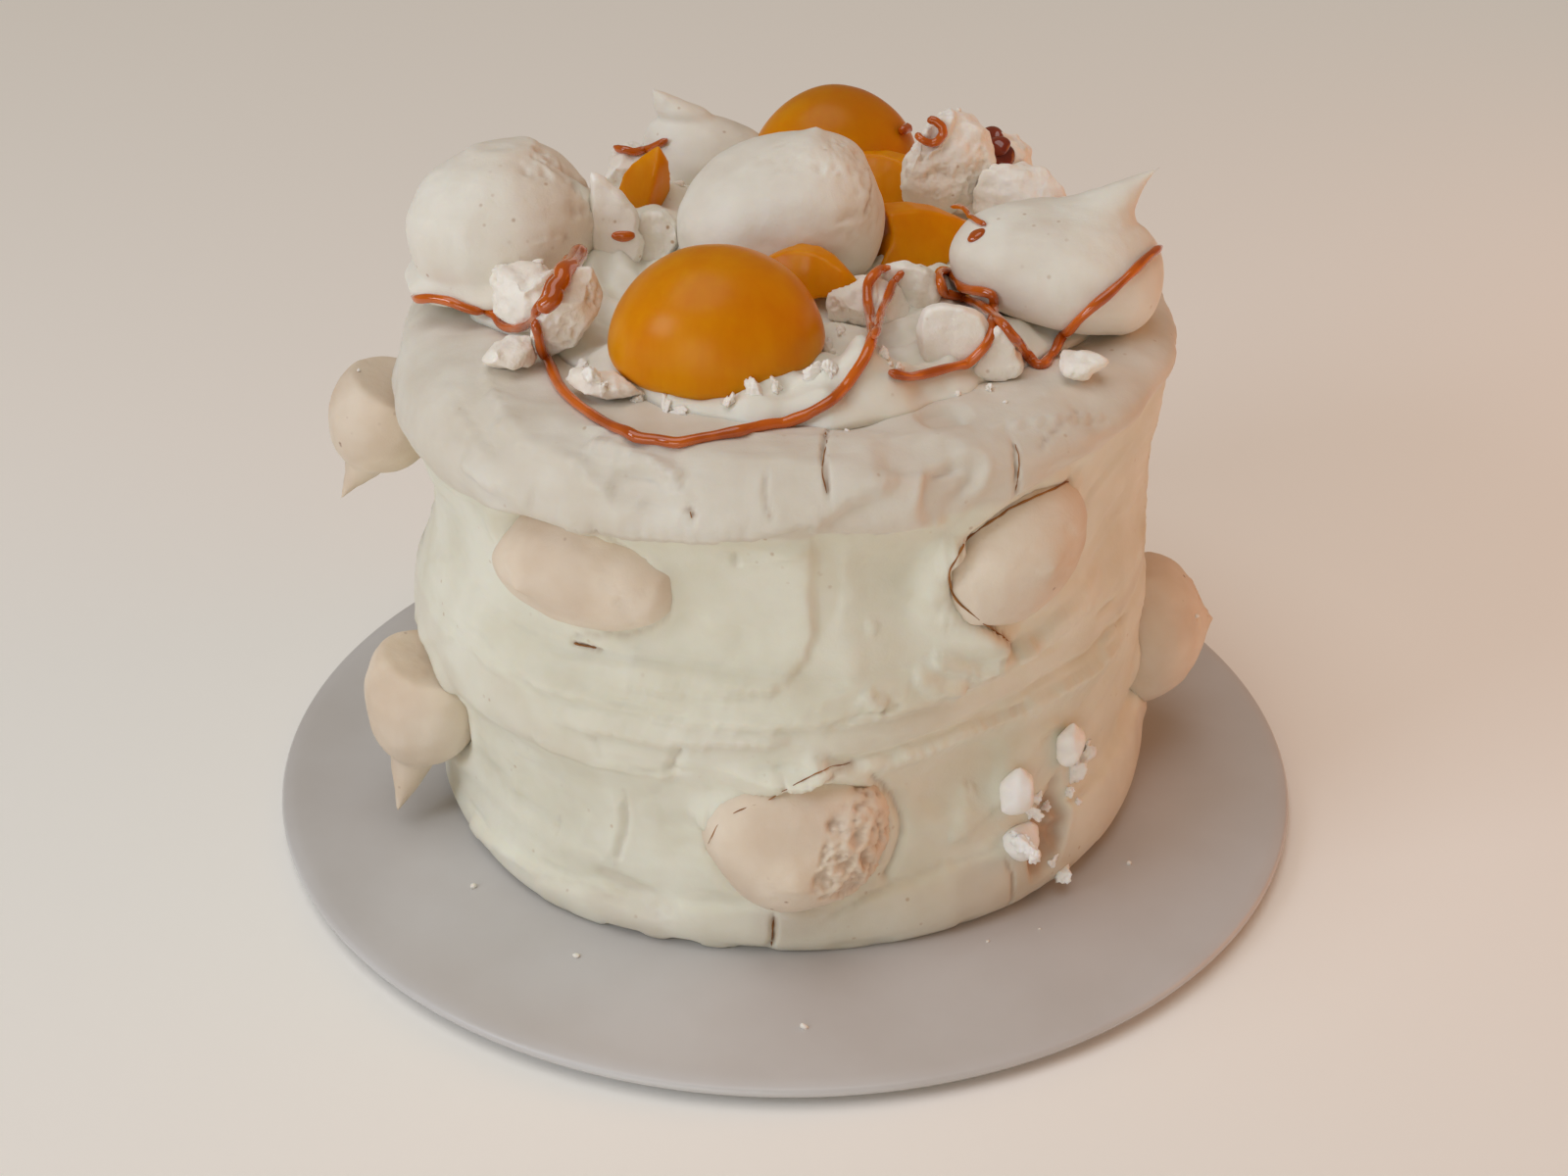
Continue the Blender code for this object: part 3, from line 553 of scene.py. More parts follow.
# places where a kiss is pressed in: azimuth, height, half size along and across, turn
kissSockets = (
    (-31, 0.118, 0.0285, 0.0180, -6), (32.5, 0.121, 0.0240, 0.0198, 28), (1.5, 0.0445, 0.0255, 0.0230, 20),
    (90, 0.046, 0.0265, 0.0235, -12), (110, 0.112, 0.0245, 0.0205, 15), (134, 0.050, 0.0255, 0.0195, -20),
    (166, 0.116, 0.0235, 0.0205, 10), (199, 0.046, 0.0255, 0.0210, 25), (230, 0.110, 0.0245, 0.0195, -15),
    (-70, 0.044, 0.0225, 0.0210, 0), (-92, 0.117, 0.0210, 0.0180, 0),
)


# height of the line where one layer lies on the last
def layerLine(values, number, x):
    low, rise = values["layers"][number + 1][:2]
    return low + rise * x


def hollowDepth(values, azimuth, height):
    pressed = 0.0
    for at, level, halfLength, halfWidth, slope, depth in values["hollows"]:
        along = wrapTurn(azimuth - math.radians(at)) * values["side"]
        u, v = onSlope(along, height - level, slope)
        pressed += depth * math.exp(-((u / halfLength)**4) - (v / halfWidth) * (v / halfWidth))
    return pressed


# the cake's outline at one azimuth, from the middle of its underside to the middle of its top
def bodyProfile(values, azimuth):
    middleX, middleY = values["middle"]
    line = [(middleX, middleY, values["foot"])]
    for number, (low, lowRise, high, highRise, radius, slid, waves, side) in enumerate(values["layers"]):
        for inset, share in side:
            reach = radius - inset
            x = reach * math.sin(azimuth) + slid
            bottom, top = low + lowRise * x, high + highRise * x
            height = bottom + share * (top - bottom)
            place = Vector((1.6 * math.sin(azimuth), 1.6 * math.cos(azimuth), height * 32))
            reach += waves * noise.noise(place) * 2.2
            if number in (1, 3):
                reach -= hollowDepth(values, azimuth, height)
            line.append((
                middleX + slid + reach * math.sin(azimuth),
                middleY - reach * math.cos(azimuth),
                height,
            ))
    line.append((middleX - 0.003, middleY, values["top"]))
    return np.array(line)


# one pull of the palette knife over what lies there: a flat facet with a raised, curled edge
def pullKnife(relief, across, up, around, stroke):
    at, level, halfLength, halfWidth, slope, offset, tilt, lip = stroke
    along = wrapTurn(across - math.radians(at)) * around
    u, v = onSlope(along, up - level, slope)
    u, v = u / halfLength, v / halfWidth
    near = (np.abs(u) < 1.1) & (np.abs(v) < 1.6)
    if not near.any():
        return
    u, v, away = u[near], v[near], np.abs(v[near])
    # the blade's two edges are crisp, and it lifts off softly at both ends
    ends = ease((1.08 - np.abs(u)) / 0.5)
    share = ease((1.03 - away) / 0.16) * ends
    facet = offset + tilt * v + 0.25 * tilt * u ** 2
    relief[near] = relief[near] * (1 - share) + facet * share
    relief[near] += lip * np.exp(-(((away - 1.03) / 0.10) ** 2)) * ends * ease(0.5 + 1.2 * v)


# a knife pull by chance: azimuth, height, half length, half width, slope, offset, tilt, lip
def chanceStroke(chance, heights, lengths, widths, slope, offsets, tilts, lips):
    return (
        chance.uniform(0, 360), chance.uniform(*heights), chance.uniform(*lengths), chance.uniform(*widths),
        slope(), chance.uniform(*offsets), chance.uniform(*tilts), chance.uniform(*lips),
    )


# the place on the cake seen through a spot of the picture
def spotOn(grid, normals, across, down):
    way, eye = np.array(wayThrough(across, down)), np.array(camera.location)
    offset = grid - eye
    ahead = offset @ way
    aside = (offset ** 2).sum(axis=2) - ahead ** 2
    aside[(normals @ way) > -0.02] = 1
    return np.unravel_index(np.argmin(aside), aside.shape)


# a fold, crack or crest along a line; each side of it falls off in its own width, and its tint paints shade along it
def pressMark(grid, normals, relief, brownedAndShade, mark):
    picture, tall, above, below, tint = mark
    spots = [spotOn(grid, normals, *place) for place in evenLine(picture, 4 * len(picture))]
    line = softened([grid[spot] for spot in spots], 3)
    length = np.linalg.norm(np.diff(line, axis=0), axis=1).sum()
    line = evenLine(line, max(6, int(length / 0.0011)))
    outward = evenLine(softened([normals[spot] for spot in spots], 3), len(line))
    run = np.gradient(line, axis=0)
    aside = np.cross(outward, run)
    aside /= np.linalg.norm(aside, axis=1, keepdims=True) + 1e-12
    margin = 0.003 + 0.002 * max(above, below)
    near = np.all((grid > line.min(axis=0) - margin) & (grid < line.max(axis=0) + margin), axis=2)
    points = grid[near]
    wobble = 0.0007 * lumps(points, 0.0045, 51) + 0.0004 * lumps(points, 0.0018, 52)
    best, index = np.full(len(points), 9.0), np.zeros(len(points), int)
    for k, place in enumerate(line):
        away = ((points - place) ** 2).sum(axis=1)
        closer = away < best
        best[closer], index[closer] = away[closer], k
    offset = points - line[index]
    side = (offset * aside[index]).sum(axis=1)
    beyond = np.sqrt(np.maximum(best - side ** 2, 0))
    side = side + wobble
    width = np.where(side > 0, above, below) / 1000
    share = index / (len(line) - 1)
    taper = ease(share / 0.10) * ease((1 - share) / 0.10) if tint < 0.3 else np.ones(len(points))
    fall = np.exp(-((side / width) ** 2) - (beyond / 0.0016) ** 2)
    relief[near] += (1.9 if tall > 0 else 1.0) * tall / 1000 * taper * fall
    # painted shade: a thin darker line along the mark, as strong as its tint
    creaseShade = 0.6 * tint * np.exp(-((side / 0.00065) ** 2) - (beyond / 0.0010) ** 2)
    brownedAndShade[near] = np.maximum(brownedAndShade[near], creaseShade)


def pressHollow(grid, normals, relief, brownedAndShade, hollow):
    middle, size, turnBy, deep, rough, tint = hollow
    spot = spotOn(grid, normals, *middle)
    centre, outward = grid[spot], normals[spot]
    sideways = np.cross([0, 0, 1], outward)
    sideways /= np.linalg.norm(sideways)
    upward = np.cross(outward, sideways)
    offset = grid - centre
    near = (offset ** 2).sum(axis=2) < (2.2 * max(size) / 1000) ** 2
    points = offset[near]
    u, v = onSlope(points @ sideways, points @ upward, turnBy)
    uneven = 1 + 0.25 * lumps(grid[near], 0.006, 53)
    reach = np.hypot(u * 1000 / size[0], v * 1000 / size[1]) * uneven
    inside = ease((1.05 - reach) / 0.45)
    relief[near] -= deep / 1000 * inside
    if rough:
        relief[near] += 0.12 * deep / 1000 * np.exp(-(((reach - 1.12) / 0.14) ** 2))
    relief[near] += rough / 1000 * inside * 0.7 * lumps(grid[near], 0.0026, 54)
    # painted shade: the inside of the hollow darker by its tint
    brownedAndShade[near] = np.maximum(brownedAndShade[near], tint * inside)


def makeBody(values):
    around, rings = values["around"], values["rings"]
    body, turn, ring = addBall("cakeBody", around, rings)
    # columns stand closer together on the side with the most detail
    even = np.linspace(0, 2 * math.pi, 2000)
    crowd = np.concatenate([[0], np.cumsum(1.65 + 0.65 * np.cos(even[:-1]))])
    azimuths = np.interp(np.arange(around) / around, crowd / crowd[-1], even)
    # rings are spent where they show: few under the cake, most up the side and over the shoulder
    grid = np.zeros((rings + 1, around, 3))
    path = np.zeros((rings + 1, around))
    for i, azimuth in enumerate(azimuths):
        line = bodyProfile(values, azimuth)
        length = lengthAlong(line)
        foot, shoulder, end = length[1], length[-2], length[-1]
        inner = shoulder + 0.036
        stations = np.concatenate([
            np.linspace(0, foot, 6)[:-1],
            np.linspace(foot, inner, rings - 16)[:-1],
            np.linspace(inner, end, 13),
        ])
        grid[:, i] = np.stack([np.interp(stations, length, line[:, k]) for k in range(3)], axis=1)
        path[:, i] = stations - foot
    # soften the ledges between the layers, as the cream does
    side = slice(6, rings - 13)
    for _ in range(9):
        grid[side] = softened(grid, 1)[side]

    along = np.roll(grid, -1, axis=1) - np.roll(grid, 1, axis=1)
    upward = np.gradient(grid, axis=0)
    normals = np.cross(along, upward)
    normals /= np.linalg.norm(normals, axis=2, keepdims=True) + 1e-12
    across = np.broadcast_to(azimuths, path.shape)
    flat = grid.reshape(-1, 3)

    def onGrid(flatValues):
        return flatValues.reshape(path.shape)

    lineAt = [layerLine(values, k, grid[:, :, 0]) for k in range(4)]
    height = grid[:, :, 2]

    wander = onGrid(grain(flat, 0.022, 5, 2)) * 0.0022
    level = height + wander
    onTop = ease((level - lineAt[3] + 0.001) / 0.003)
    inMiddle = ease((level - lineAt[1] - 0.001) / 0.0022) * ease((lineAt[2] - 0.001 - level) / 0.0022)
    inBase = ease((lineAt[0] - 0.0015 - level) / 0.0025)
    discShare = np.clip(onTop + inMiddle * 0.55 + inBase, 0, 1)
    # cream was smeared over the two lower discs, so little of them shows
    shown = np.clip(0.85 * onTop + 0.15 * inMiddle + 0.30 * inBase, 0, 1)

    # knife pulls: many by chance, then those that the photograph shows
    chance = random.Random(41)
    relief = np.zeros_like(path)
    sideStrokes = [chanceStroke(
        chance, (0.020, 0.146), (0.014, 0.040), (0.0040, 0.0100),
        lambda: chance.gauss(4, 9) if chance.random() < 0.86 else chance.uniform(18, 40),
        (-0.0006, 0.0008), (-0.0006, 0.0006), (0.0001, 0.0006),
    ) for _ in range(values["knife pulls"])]
    for stroke in (*sideStrokes, *shownStrokes):
        pullKnife(relief, across, level, values["knife"], stroke)
    streaks = onGrid(lumps(flat * np.array([0.3, 0.3, 2.4]), 0.0045, 9))
    creamy = 1 - discShare
    relief = relief * (0.22 + 0.78 * creamy) + 0.00022 * streaks * creamy
    # broad pulls on the top disc's shoulder, where the cream ran thin
    topRelief = np.zeros_like(path)
    topStrokes = [chanceStroke(
        chance, (0.150, 0.178), (0.014, 0.034), (0.004, 0.009), lambda: chance.gauss(0, 10),
        (-0.0004, 0.0004), (-0.0005, 0.0005), (0.0000, 0.0005),
    ) for _ in range(values["top pulls"])]
    for stroke in (*topStrokes, *shownTopStrokes):
        pullKnife(topRelief, across, path, values["knife"], stroke)
    relief += topRelief * onTop * ease((path - 0.142) / 0.01)

    # thin shadow lines where one layer was laid on another
    for number, (depth, width) in enumerate(((0.0010, 0.0011), (0.0013, 0.0011), (0.0012, 0.0010), (0.0009, 0.0013))):
        broken = ease(0.55 + 1.3 * onGrid(lumps(flat, 0.017, 60 + number)))
        relief -= depth * broken * np.exp(-(((level - lineAt[number]) / width) ** 2))

    # a lip of cream round each kiss
    for at, middle, halfLong, halfShort, turnBy in kissSockets:
        aside = wrapTurn(across - math.radians(at)) * values["lips"]
        u, v = onSlope(aside, height - middle, turnBy)
        reach = np.hypot(u / halfLong, v / halfShort)
        uneven = 0.7 + 0.6 * onGrid(lumps(flat, 0.012, 77))
        relief += 0.0019 * uneven * np.exp(-(((reach - 1.05) / 0.13) ** 2))
        relief -= 0.0040 * ease((0.90 - reach) / 0.35)

    # lumps lie level, since the knife goes round
    level = flat * np.array([0.20, 0.20, 1.0])
    relief += 0.0009 * onGrid(grain(level, 0.014, 1, 1))
    relief += 0.00012 * onGrid(grain(level, 0.0070, 2, 3)) * (0.5 + 0.5 * creamy)
    relief += onTop * 0.0009 * onGrid(grain(flat, 0.016, 3, 2))
    # the lowest disc comes out a little further on the left of the front
    leftFront = np.exp(-((wrapTurn(across + math.radians(38)) / 0.42) ** 2))
    relief += 0.0035 * leftFront * ease((0.024 - height) / 0.012) * (path > -0.004)
    # torn lower rim
    rim = np.exp(-((path / 0.004) ** 2)) * (path > -0.002)
    relief -= rim * 0.0016 * ease(0.5 + 1.5 * onGrid(lumps(flat, 0.009, 31)))
    # folds, cracks and hollows that show in the photograph
    brownedAndShade = np.zeros_like(path)
    for mark in shownMarks:
        pressMark(grid, normals, relief, brownedAndShade, mark)
    for hollow in shownHollows:
        pressHollow(grid, normals, relief, brownedAndShade, hollow)
    brownedAndShade += 0.16 * ease(0.2 + 1.6 * onGrid(lumps(flat, 0.020, 88))) * (inBase + 0.5 * inMiddle)

    # the middles of the underside and of the top stay where they are
    fixed = np.ones_like(path)
    fixed[:5] = 0
    fixed[-12:] = np.linspace(1, 0, 12)[:, None]
    grid = grid + normals * (relief * fixed)[:, :, None]
    grid[:, :, 2] = np.maximum(grid[:, :, 2], values["plate top"])
    setPoints(body, grid[ring, turn])
    setMask(body, "discShare", shown[ring, turn])
    setMask(body, "brownedAndShade", np.clip(brownedAndShade, 0, 1)[ring, turn])
    return finishPiece(
        body, "cakeBody", spreadCream,
        ["base_disc", "cream_lower", "middle_disc", "cream_upper", "top_disc"],
    )


# knife pulls that show: azimuth, height, half length, half width, slope, offset, tilt, lip
shownStrokes = (
    (-13, 0.089, 0.034, 0.0050, 5, 0.0012, 0.0008, 0.0008),
    (-40, 0.086, 0.030, 0.0050, -6, 0.0010, -0.0006, 0.0009),
    (12, 0.090, 0.026, 0.0052, 14, 0.0009, 0.0008, 0.0008),
    (-22, 0.062, 0.030, 0.0060, 4, 0.0006, 0.0006, 0.0007),
    (42, 0.090, 0.030, 0.0070, 16, 0.0006, 0.0008, 0.0007),
    (-26, 0.045, 0.034, 0.0160, 2, 0.0000, 0.0004, 0.0000),
    (22, 0.058, 0.026, 0.0170, 4, 0.0000, -0.0004, 0.0000),
    (-5, 0.112, 0.032, 0.0190, 3, -0.0002, 0.0002, 0.0000),
    (17, 0.113, 0.016, 0.0190, 3, -0.0004, 0.0000, 0.0000),
)
# the same on the top disc, by the way up its side and over the shoulder
shownTopStrokes = (
    (-46, 0.168, 0.016, 0.0055, -12, -0.0008, 0.0006, 0.0008),
    (-21, 0.170, 0.020, 0.0050, -8, -0.0007, 0.0006, 0.0008),
    (19, 0.172, 0.013, 0.0065, -10, -0.0010, 0.0005, 0.0007),
    (40, 0.165, 0.020, 0.0060, -14, -0.0006, -0.0005, 0.0006),
)
# places in the picture; height and width on each side in millimetres (above or right of the line, then below or
# left of it, as the line runs); tint, the strength of the shade painted along the line
shownMarks = (
    # lower lip of the top disc
    (((560, 520), (600, 534), (643, 543), (717, 549), (780, 546), (818, 539), (850, 520), (887, 502),
        (928, 491)), 1.3, 6.0, 1.0, 0.05),
    (((818, 541), (880, 540), (937, 536), (968, 528)), 0.8, 5.0, 1.2, 0.0),
    # edge of the torn patch on the top disc, and the fold left of it
    (((596, 454), (620, 458), (655, 472), (680, 484), (694, 494)), 1.5, 3.0, 0.6, 0.20),
    (((470, 474), (490, 490), (520, 505), (545, 512)), 0.9, 4.0, 0.9, 0.05),
    (((500, 430), (535, 452), (566, 470), (600, 480)), 0.7, 6.0, 2.0, 0.0),
    # the upright end of the wide knife pull, and the pull's lower edge
    (((824, 540), (826, 580), (826, 620), (827, 657), (808, 686), (786, 703), (735, 707), (668, 703),
        (612, 688)), 0.85, 1.1, 9.0, 0.0),
    (((764, 640), (750, 668), (722, 694), (690, 700)), -0.5, 3.0, 3.0, 0.0),
    (((752, 574), (781, 574), (822, 556)), 0.35, 1.2, 1.8, 0.0),
    # ledges of the middle disc
    (((520, 688), (570, 706), (610, 715), (644, 720), (680, 736), (763, 739), (841, 739), (919, 725), (1011, 689),
        (1080, 642), (1125, 600)), 1.3, 5.0, 1.1, 0.05),
    (((560, 735), (620, 752), (689, 759), (781, 760), (812, 753)), 1.0, 4.0, 0.8, 0.05),
    (((717, 783), (790, 785), (850, 785), (919, 770), (979, 747), (1057, 715), (1112, 683),
        (1150, 640)), 1.5, 1.2, 5.0, 0.0),
    (((690, 786), (640, 780), (590, 770), (540, 748)), 0.8, 5.0, 1.2, 0.0),
    (((903, 716), (890, 712), (878, 700)), 0.8, 2.5, 0.8, 0.1),
    # lips of cream by the right kiss
    (((946, 674), (969, 680), (992, 689), (1029, 670), (1057, 656)), 1.2, 3.0, 1.0, 0.05),
    (((930, 690), (952, 700), (980, 706)), 0.8, 3.0, 1.0, 0.05),
    (((866, 608), (905, 600), (930, 606)), 0.3, 3.5, 2.0, 0.0),
    (((884, 640), (896, 644)), 0.5, 1.6, 1.2, 0.0),
    # creases low on the left
    (((634, 806), (644, 832), (638, 856), (629, 880)), -1.3, 0.9, 1.6, 0.22),
    (((627, 806), (636, 832), (631, 856), (622, 880)), 0.8, 3.0, 4.0, 0.0),
    (((568, 836), (563, 855)), -0.9, 0.9, 0.9, 0.15),
    (((604, 752), (614, 770)), -0.8, 1.0, 1.0, 0.10),
    (((695, 766), (687, 783)), -1.6, 1.4, 1.4, 0.38),
    # cream pushed up over the lower left of the right kiss and over the top of the low one
    (((984, 548), (964, 576), (958, 602), (975, 626), (1004, 648), (1030, 662)), 2.6, 4.0, 5.0, 0.0),
    (((718, 846), (740, 824), (779, 808), (818, 790), (850, 774)), 2.2, 5.0, 3.0, 0.0),
    (((800, 786), (804, 806)), -1.0, 1.2, 1.2, 0.25),
    (((748, 566), (749, 577)), -1.0, 1.0, 1.0, 0.25),
    (((552, 891), (598, 902), (653, 924), (684, 938)), -0.8, 0.9, 0.9, 0.12),
    (((480, 840), (520, 868), (560, 886)), 0.7, 3.0, 1.2, 0.05),
    # seam over the base disc on the right
    (((836, 944), (862, 926), (887, 911), (946, 888), (1024, 868), (1070, 850)), -1.2, 1.2, 1.0, 0.10),
    (((990, 800), (985, 830), (978, 860)), 0.7, 5.0, 3.0, 0.0),
    # cracks, with painted shade in their bottoms
    (((843, 438), (842, 462), (839, 482), (844, 503)), -1.4, 0.45, 0.45, 0.85),
    (((781, 492), (784, 504), (787, 526)), -0.9, 0.5, 0.5, 0.35),
    (((704, 521), (706, 528)), -0.9, 0.6, 0.6, 0.85),
    (((1035, 452), (1040, 470), (1036, 500)), -1.2, 0.5, 0.5, 0.55),
    (((1060, 455), (1078, 440), (1098, 420)), -0.7, 0.5, 0.5, 0.40),
    (((789, 939), (787, 966)), -2.4, 0.8, 0.8, 0.95),
    (((1027, 881), (1034, 900), (1028, 930)), -1.1, 0.5, 0.5, 0.45),
    (((586, 657), (598, 660), (608, 662)), -1.6, 0.6, 0.6, 1.0),
    # painted shade in the gaps beside the kisses
    (((1090, 492), (1058, 506), (1031, 519), (1002, 537), (981, 557), (967, 584), (970, 604), (985, 622),
        (1010, 640), (1030, 655)), -1.5, 0.8, 0.8, 0.95),
    (((612, 537), (640, 555), (662, 576), (680, 596), (686, 612), (678, 632), (668, 642), (630, 648),
        (590, 645)), -1.0, 0.6, 0.6, 0.30),
    (((724, 860), (729, 846), (742, 833), (779, 817), (815, 799), (846, 783), (868, 778)), -1.2, 0.8, 0.8, 0.85),
    (((887, 793), (908, 810), (922, 838), (918, 866), (904, 892)), -1.8, 1.6, 1.2, 0.48),
)
# middle in the picture, half sizes and turn of the hollow, depth in millimetres, roughness, tint of the shade painted
# inside
shownHollows = (
    ((650, 500), (12.0, 5.5), -14, 2.2, 0.5, 0.04),
    ((972, 494), (11.5, 7.0), 30, 2.0, 0.25, 0.08),
    ((960, 425), (8.5, 5.5), 0, 2.2, 0.0, 0.0),
    ((700, 655), (22.0, 9.0), -6, 0.8, 0.0, 0.0),
    ((845, 600), (5.0, 16.0), 0, 0.6, 0.0, 0.0),
    ((560, 820), (16.0, 13.0), 0, 1.0, 0.0, 0.0),
    ((700, 825), (14.0, 10.0), 0, 0.9, 0.0, 0.0),
    ((985, 790), (17.0, 12.0), 12, 1.3, 0.0, 0.0),
    ((1072, 846), (8.0, 13.0), -34, 2.2, 1.6, 0.55),
    ((640, 905), (14.0, 4.0), -12, 0.7, 1.0, 0.12),
)


makeBody(bodyValues)
print("cake body done")


# bed of cream on top

bedValues = {
    "middle": cakeMiddle,
    "floor": 0.1580,
    "height": 0.0078,
    "around": 360,
    "rings": 110,
    "rings under": 14,
    # azimuth and how far it reaches
    "reach": (
        (-180, 0.082), (-130, 0.088), (-95, 0.098), (-60, 0.080), (-36, 0.082), (-14, 0.090), (6, 0.092),
        (20, 0.088), (38, 0.078), (62, 0.084), (85, 0.094), (115, 0.088), (140, 0.086), (180, 0.082),
    ),
    # across, along, width and height of each lobe, in millimetres
    "lobes": (
        (-6, -80, 9, 3.0), (6, -76, 7, 3.6), (14, -68, 8, 3.8), (20, -60, 6, 3.4), (23, -70, 9, 5.6),
        (-18, -81, 8, 2.4), (-38, -70, 7, 2.2), (17, -50, 6, 3.0), (34, -62, 5, 2.4), (-62, -30, 8, 2.4),
        (-20, 40, 12, 3.0), (60, 8, 9, 3.0), (48, 22, 8, 3.2), (30, 78, 9, 2.6), (-40, 66, 10, 2.8),
        (0, -28, 10, 2.5), (46, -58, 6, 2.2), (80, -48, 6, 1.6),
    ),
}
standing = (
    "top_kiss_left", "top_kiss_middle", "top_kiss_right", "top_kiss_back_left", "peach_front", "peach_back",
    "peach_slice_right", "peach_slice_left", "peach_slice_back", "piece_left_a", "piece_left_b", "piece_tall",
    "piece_crumbly", "piece_back_left", "piece_back_right", "piece_block", "piece_behind_block", "piece_right_a",
    "piece_right_b", "piece_right_c", "piece_right_d",
)


def makeBed(values):
    around, rings = values["around"], values["rings"]
    bed, turn, ring = addBall("creamBed", around, rings)
    lowest = values["floor"] - 0.0004
    azimuth = turn / around * 2 * math.pi
    degrees = np.degrees(wrapTurn(azimuth))
    marks = np.array(values["reach"])
    reach = np.interp(degrees, marks[:, 0], marks[:, 1])
    direction = np.stack([np.sin(azimuth), -np.cos(azimuth)], axis=1)
    circle = np.stack([direction[:, 0], direction[:, 1], np.zeros(len(azimuth))], axis=1)
    reach = reach * (1 + 0.030 * lumps(circle, 0.30, 3) + 0.022 * lumps(circle, 0.11, 4))
    under = values["rings under"]
    # rings run from the middle of the underside, out to the rim, and back over the top
    share = np.where(ring <= under, ring / under, 1 - (ring - under) / (rings - under))
    share = np.where(ring <= under, share, share ** 0.9)
    x, y = (middle + direction[:, axis] * reach * share for axis, middle in enumerate(values["middle"]))
    flat = np.stack([x, y, np.zeros(len(x))], axis=1)
    top = ring > under
    swell = np.where(top, np.clip(1 - share**5, 0, 1) ** 0.55, 0.0)
    heave = 1 + 0.42 * lumps(flat, 0.017, 6) + 0.20 * lumps(flat, 0.008, 7)
    z = lowest + (values["height"] * heave + 0.0006) * swell
    # folds that the spoon left, running round the heap
    fold = np.sin(2 * math.pi * (share * reach / 0.0135 + 0.7 * lumps(flat, 0.030, 12)))
    fold = np.sign(fold) * np.abs(fold) ** 0.7
    z += np.where(top, 0.0011 * fold * swell * ease((share - 0.3) / 0.2), 0)
    # cream squeezed up round whatever stands in it
    for name in standing:
        low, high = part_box(name)
        halfX, halfY = (high.x - low.x) / 2, (high.y - low.y) / 2
        away = np.hypot((x - (low.x + high.x) / 2) / halfX, (y - (low.y + high.y) / 2) / halfY)
        gap = (away - 0.95) * min(halfX, halfY)
        uneven = 0.6 + 0.8 * lumps(flat, 0.010, 21)
        z += np.where(top, 0.0026 * uneven * np.exp(-((gap / 0.0034) ** 2)) * swell, 0)
    # lobes that the spoon dropped, most of them round the front peach
    for lobeX, lobeY, wide, tall in values["lobes"]:
        away = np.hypot(x - lobeX / 1000, y - lobeY / 1000) / (wide / 1000)
        away = away * (1 + 0.25 * lumps(flat, 0.009, 22))
        z += np.where(top, tall / 1000 * ease(1.25 - away) ** 0.8 * np.clip(swell * 1.5, 0, 1), 0)
    z += np.where(top, 0.0007 * (0.5 - np.abs(grain(flat, 0.0075, 8, 2))) * swell, 0)
    setPoints(bed, np.stack([x, y, np.maximum(z, lowest)], axis=1))
    setMask(bed, "brownedAndShade", 0.05 * ease(lumps(flat, 0.02, 9)))
    return finishPiece(bed, "creamBed", bedCream, ["cream_bed"])


makeBed(bedValues)
print("cream bed done")


# meringue kisses

